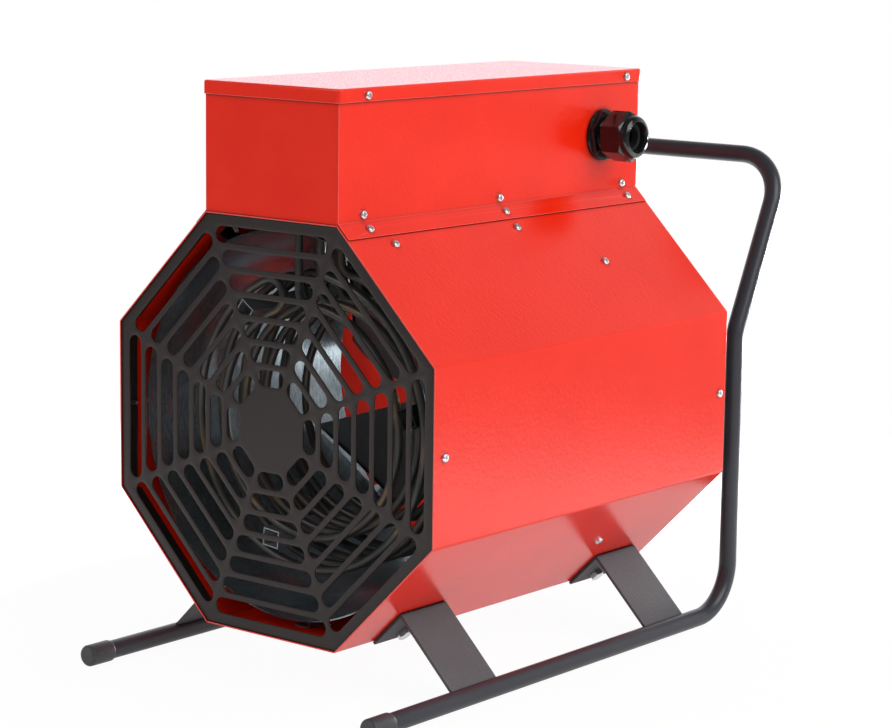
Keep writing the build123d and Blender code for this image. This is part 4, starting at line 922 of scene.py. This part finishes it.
def slot_outline(middle):
    """Points and outward directions of a round-ended slot, whose middle is that far out.

    Its straight sides end half a spoke and one rounding before the border of the sector, and
    the rounding is (middle, half) + r (cos q, sin q). The second half mirrors the first."""
    half = middle * EIGHTH - SPOKE / 2 - SLOT_ROUND
    w = np.linspace(-half, half, FLAT_POINTS, endpoint=False)
    q = np.linspace(0, np.pi, ROUND_POINTS, endpoint=False)
    bow = np.stack([np.cos(q), np.sin(q)], -1)
    top = np.stack([np.full(FLAT_POINTS, middle + SLOT_ROUND), w], -1)
    first = np.concatenate([top, (middle, half) + SLOT_ROUND * bow])
    normal = np.concatenate([np.tile([1.0, 0.0], (FLAT_POINTS, 1)), bow])
    return np.concatenate([first, (2 * middle, 0.0) - first]), np.concatenate([normal, -normal])


def cell_border(inner, outer):
    """Points on the border of a cell, a trapezium between two octagons, in the slot's order.

    An octagon at the distance d has its corner at (d, d tan 22.5)."""
    w = np.linspace(-1, 1, FLAT_POINTS, endpoint=False)[:, None]
    share = np.linspace(0, 1, ROUND_POINTS, endpoint=False)[:, None]
    a, b = np.array([inner, inner * EIGHTH]), np.array([outer, outer * EIGHTH])
    return np.concatenate([
        b * np.concatenate([np.ones_like(w), w], -1), b + (a - b) * share,
        a * np.concatenate([np.ones_like(w), -w], -1), (a + (b - a) * share) * (1.0, -1.0),
    ])


def octagon(distance):
    """Points on an octagon, as many on each side as a cell has on its flat border."""
    w = np.linspace(-1, 1, FLAT_POINTS, endpoint=False) * distance * EIGHTH
    side = np.stack([np.full(FLAT_POINTS, distance), w], -1)
    return around_axis(side[None])[:, 0].reshape(-1, 2)


# %% Folded sides of a grille
PLATE, PLATE_FLAT, FOLD_HALF = 1.5, 198.5, 76.2
FOLD_LOOP = np.array([
    (198.4, 0.9), (198.5, 1.2), (198.5, 19.7), (198.2, 20.0), (197.3, 20.0), (197.0, 19.7),
    (197.0, 1.2),
])
FOLD_MIDDLE = np.array([197.75, 10.4])
FOLDED_EIGHTHS = (7, 0, 1, 3, 4, 5)     # the top and the bottom of the plate aren't folded


def folded_side(eighth):
    """Points (x, z) and depths of one folded side: a loop carried along it, closed by poles.

    At the distance r from the axis and w along the side, x = r cos a - w sin a and
    z = r sin a + w cos a."""
    a = math.radians(45.0 * eighth)
    loops = FOLD_MIDDLE + np.array([0, 1, 1, 0])[:, None, None] * (FOLD_LOOP - FOLD_MIDDLE)
    r, depth = np.moveaxis(loops, -1, 0)
    w = FOLD_HALF * np.array([-1, -1, 1, 1])[:, None]
    x, z = r * math.cos(a) - w * math.sin(a), r * math.sin(a) + w * math.cos(a)
    return np.stack([x, z], -1), depth


# %% Both grilles
CASING_LENGTH, RECESS = 466.0, 1.0
SLOT_RINGS, FIRST_SLOTS, SLOT_PITCH = 7, 48.9, 21.8
SLOT_EDGE, RIM_EDGE, BOW = 0.28, 0.7, 0.3


def grille_grids(face, inwards):
    """Grids of one grille: the cells, the middle disc on both faces, the rim, the folded sides.

    An edge goes from the face to the wall through a point at 0.3 of its width and depth."""
    soft = BOW * SLOT_EDGE
    depths = [0, 0, soft, SLOT_EDGE, PLATE - SLOT_EDGE, PLATE - soft, PLATE, PLATE]
    offsets = np.array([SLOT_EDGE, soft, 0, 0, soft, SLOT_EDGE])[:, None, None]
    flats = []
    for middle in FIRST_SLOTS + SLOT_PITCH * np.arange(SLOT_RINGS):
        border = cell_border(middle - SLOT_PITCH / 2, middle + SLOT_PITCH / 2)[None]
        outline, normal = slot_outline(middle)
        rows = np.concatenate([border, outline + offsets * normal, border])
        flats.append((around_axis(rows), np.array(depths)[:, None]))
    disc_edge = FIRST_SLOTS - SLOT_PITCH / 2
    disc = np.stack([octagon(disc_edge), octagon(disc_edge / 2), octagon(0.0)])[None]
    flats += [(disc, 0.0), (disc, PLATE)]
    rim_start, soft = disc_edge + SLOT_PITCH * SLOT_RINGS, BOW * RIM_EDGE
    rim_depths = np.array([0, 0, soft, RIM_EDGE, PLATE, PLATE])[:, None]
    rim = np.stack([octagon(distance) for distance in (
        rim_start, PLATE_FLAT - RIM_EDGE, PLATE_FLAT - soft, PLATE_FLAT, PLATE_FLAT, rim_start
    )])
    flats.append((rim[None], rim_depths))
    flats += [(flat[None], depth) for flat, depth in map(folded_side, FOLDED_EIGHTHS)]
    return [in_casing(flat[..., 0], face + inwards * depth, flat[..., 1]) for flat, depth in flats]


for end_name, face, inwards in (("front", RECESS, 1.0), ("rear", CASING_LENGTH - RECESS, -1.0)):
    web = grille_grids(face, inwards)
    make_piece(f"web_grille_{end_name}", web, "dark_grille_coat", [f"{end_name}_grille"])

# %% [markdown]
# ## Floor and surroundings
#
# The heater stands in a white studio. Lamps strong enough to make a floor white would burn out
# the red, so the floor and the world are white by themselves, and only to the camera and to
# rays that see them in gloss or through glass, so that coated sheet shows them too. In gloss
# they fade to grey towards the camera, where a room has no white wall, and the floor has a
# painted pool of light round the heater, brighter than white; that fade and pool on the floor
# are painted light. A part of the floor stays a plain surface, which keeps the shadow.

# %% White for the camera and for gloss
def studio_white(tree, place, socket, away, low, high, start, end, painted_light_pool=None):
    """Grey to white in the direction away, times the painted pool of light, for gloss, and plain
    white for the camera.

    The strength is the larger of that fade and 1 for the camera. Gives back the share of the
    white: 1 for the camera, gloss and glass, and else 0."""
    fade = spread(tree, dot(tree, place, away), low, high, start, end)
    if painted_light_pool is not None:
        fade = combine(tree, "MULTIPLY", fade, painted_light_pool)
    rays = add(tree, "LightPath")
    clear = combine(
        tree, "MAXIMUM", rays.outputs["Is Camera Ray"], rays.outputs["Is Transmission Ray"]
    )
    tree.links.new(combine(tree, "MAXIMUM", fade, clear), socket)
    return combine(tree, "MAXIMUM", clear, rays.outputs["Is Glossy Ray"])


def surface_mix(tree, share, first, second, output):
    """The surface: the first shader where the share is 0, and the second where it is 1."""
    mix = add(tree, "MixShader")
    for index, source in enumerate((share, first, second)):
        tree.links.new(source, mix.inputs[index])
    tree.links.new(mix.outputs[0], tree.nodes[output].inputs["Surface"])


# %% Floor
FLOOR_HALF = 40

corners = [(-FLOOR_HALF, -FLOOR_HALF, 0), (FLOOR_HALF, -FLOOR_HALF, 0)]
corners += [(FLOOR_HALF, FLOOR_HALF, 0), (-FLOOR_HALF, FLOOR_HALF, 0)]
floor_mesh = bpy.data.meshes.new("floor")
floor_mesh.from_pydata(corners, [], [(0, 1, 2, 3)])
floor = bpy.data.objects.new("floor", floor_mesh)
bpy.context.scene.collection.objects.link(floor)

floor_white, tree, shader, place = new_finish(
    "studio_floor", Base_Color=(0.96, 0.96, 0.96, 1), Roughness=0.8
)
reach = add(tree, "VectorMath", operation="LENGTH")
tree.links.new(place, reach.inputs[0])
distance = reach.outputs["Value"]
# Painted light: a pool on the floor, seen in gloss, brightest about 0.8 to 0.95 m from the origin.
painted_light_pool = combine(
    tree, "MULTIPLY", spread(tree, distance, 0.85, 2.4, 0.40, 0.80),
    spread(tree, distance, 1.0, 0.20, 0.95, 1.35),
)
glow = add(tree, "Emission", Color=(1, 1, 1, 1))
seen = studio_white(tree, place, glow.inputs["Strength"], (0, 1, 0), 0.50, 0.95, -1.6, 0.3, painted_light_pool)
share = combine(tree, "MULTIPLY", seen, spread(tree, distance, 0.96, 1.0, 0.4, 0.9))
surface_mix(tree, share, shader.outputs[0], glow.outputs[0], "Material Output")
floor_mesh.materials.append(floor_white)
print("floor of", 2 * FLOOR_HALF, "m")

# %% World
world = bpy.data.worlds.new("studio")
world.use_nodes = True
bpy.context.scene.world = world
tree = world.node_tree
ambient = tree.nodes["Background"]
ambient.inputs["Color"].default_value = (1, 1, 1, 1)
ambient.inputs["Strength"].default_value = 0.5
white = add(tree, "Background", Color=(1, 1, 1, 1))
direction = add(tree, "TexCoord").outputs["Generated"]
seen = studio_white(
    tree, direction, white.inputs["Strength"], (-0.7, 1, -0.8), 0.10, 1.0, -0.2, 0.6
)
surface_mix(tree, seen, ambient.outputs[0], white.outputs[0], "World Output")
print("light from the world:", ambient.inputs["Strength"].default_value)

# %% [markdown]
# ## Lamps
#
# Studio light comes through large cloths, so its shadows are soft. Area lamps do the same: the
# larger the lamp, the softer the shadow. The key light is on the right, so that the box's right
# side is the brightest red and the front is darker. A weak one lights the front from the left,
# a bluish one the left from behind, and a small one stands low behind the casing.

# %% Soft lamps
def soft_lamp(name, where, aim, size, power, tint=(1, 1, 1)):
    """Area lamp of that size, power and tint, looking from where to aim."""
    data = bpy.data.lights.new(name, "AREA")
    data.shape = "RECTANGLE"
    data.size, data.size_y = size
    data.energy = power
    data.color = tint
    lamp = bpy.data.objects.new(name, data)
    look = (Vector(aim) - Vector(where)).to_track_quat("-Z", "Y")
    lamp.matrix_world = Matrix.Translation(where) @ look.to_matrix().to_4x4()
    lamp.visible_camera = False
    bpy.context.scene.collection.objects.link(lamp)
    print(f"{name}: {power} W")


soft_lamp("key_right", (3.2, 0.4, 2.6), (0, 0, 0.25), (2.6, 2.6), 92.0)
soft_lamp("back_left", (-2.6, 3.2, 1.5), (0, 0, 0.45), (4.0, 2.4), 16.0, (0.70, 0.80, 1.0))
soft_lamp("front_left", (-1.6, -3.4, 2.0), (0, 0, 0.25), (1.4, 1.4), 27.0)
soft_lamp("back_low", (0.1, 2.0, 0.2), (-0.1, 0, 0.28), (0.6, 0.3), 40.0)

bpy.context.scene.view_settings.view_transform = "Standard"
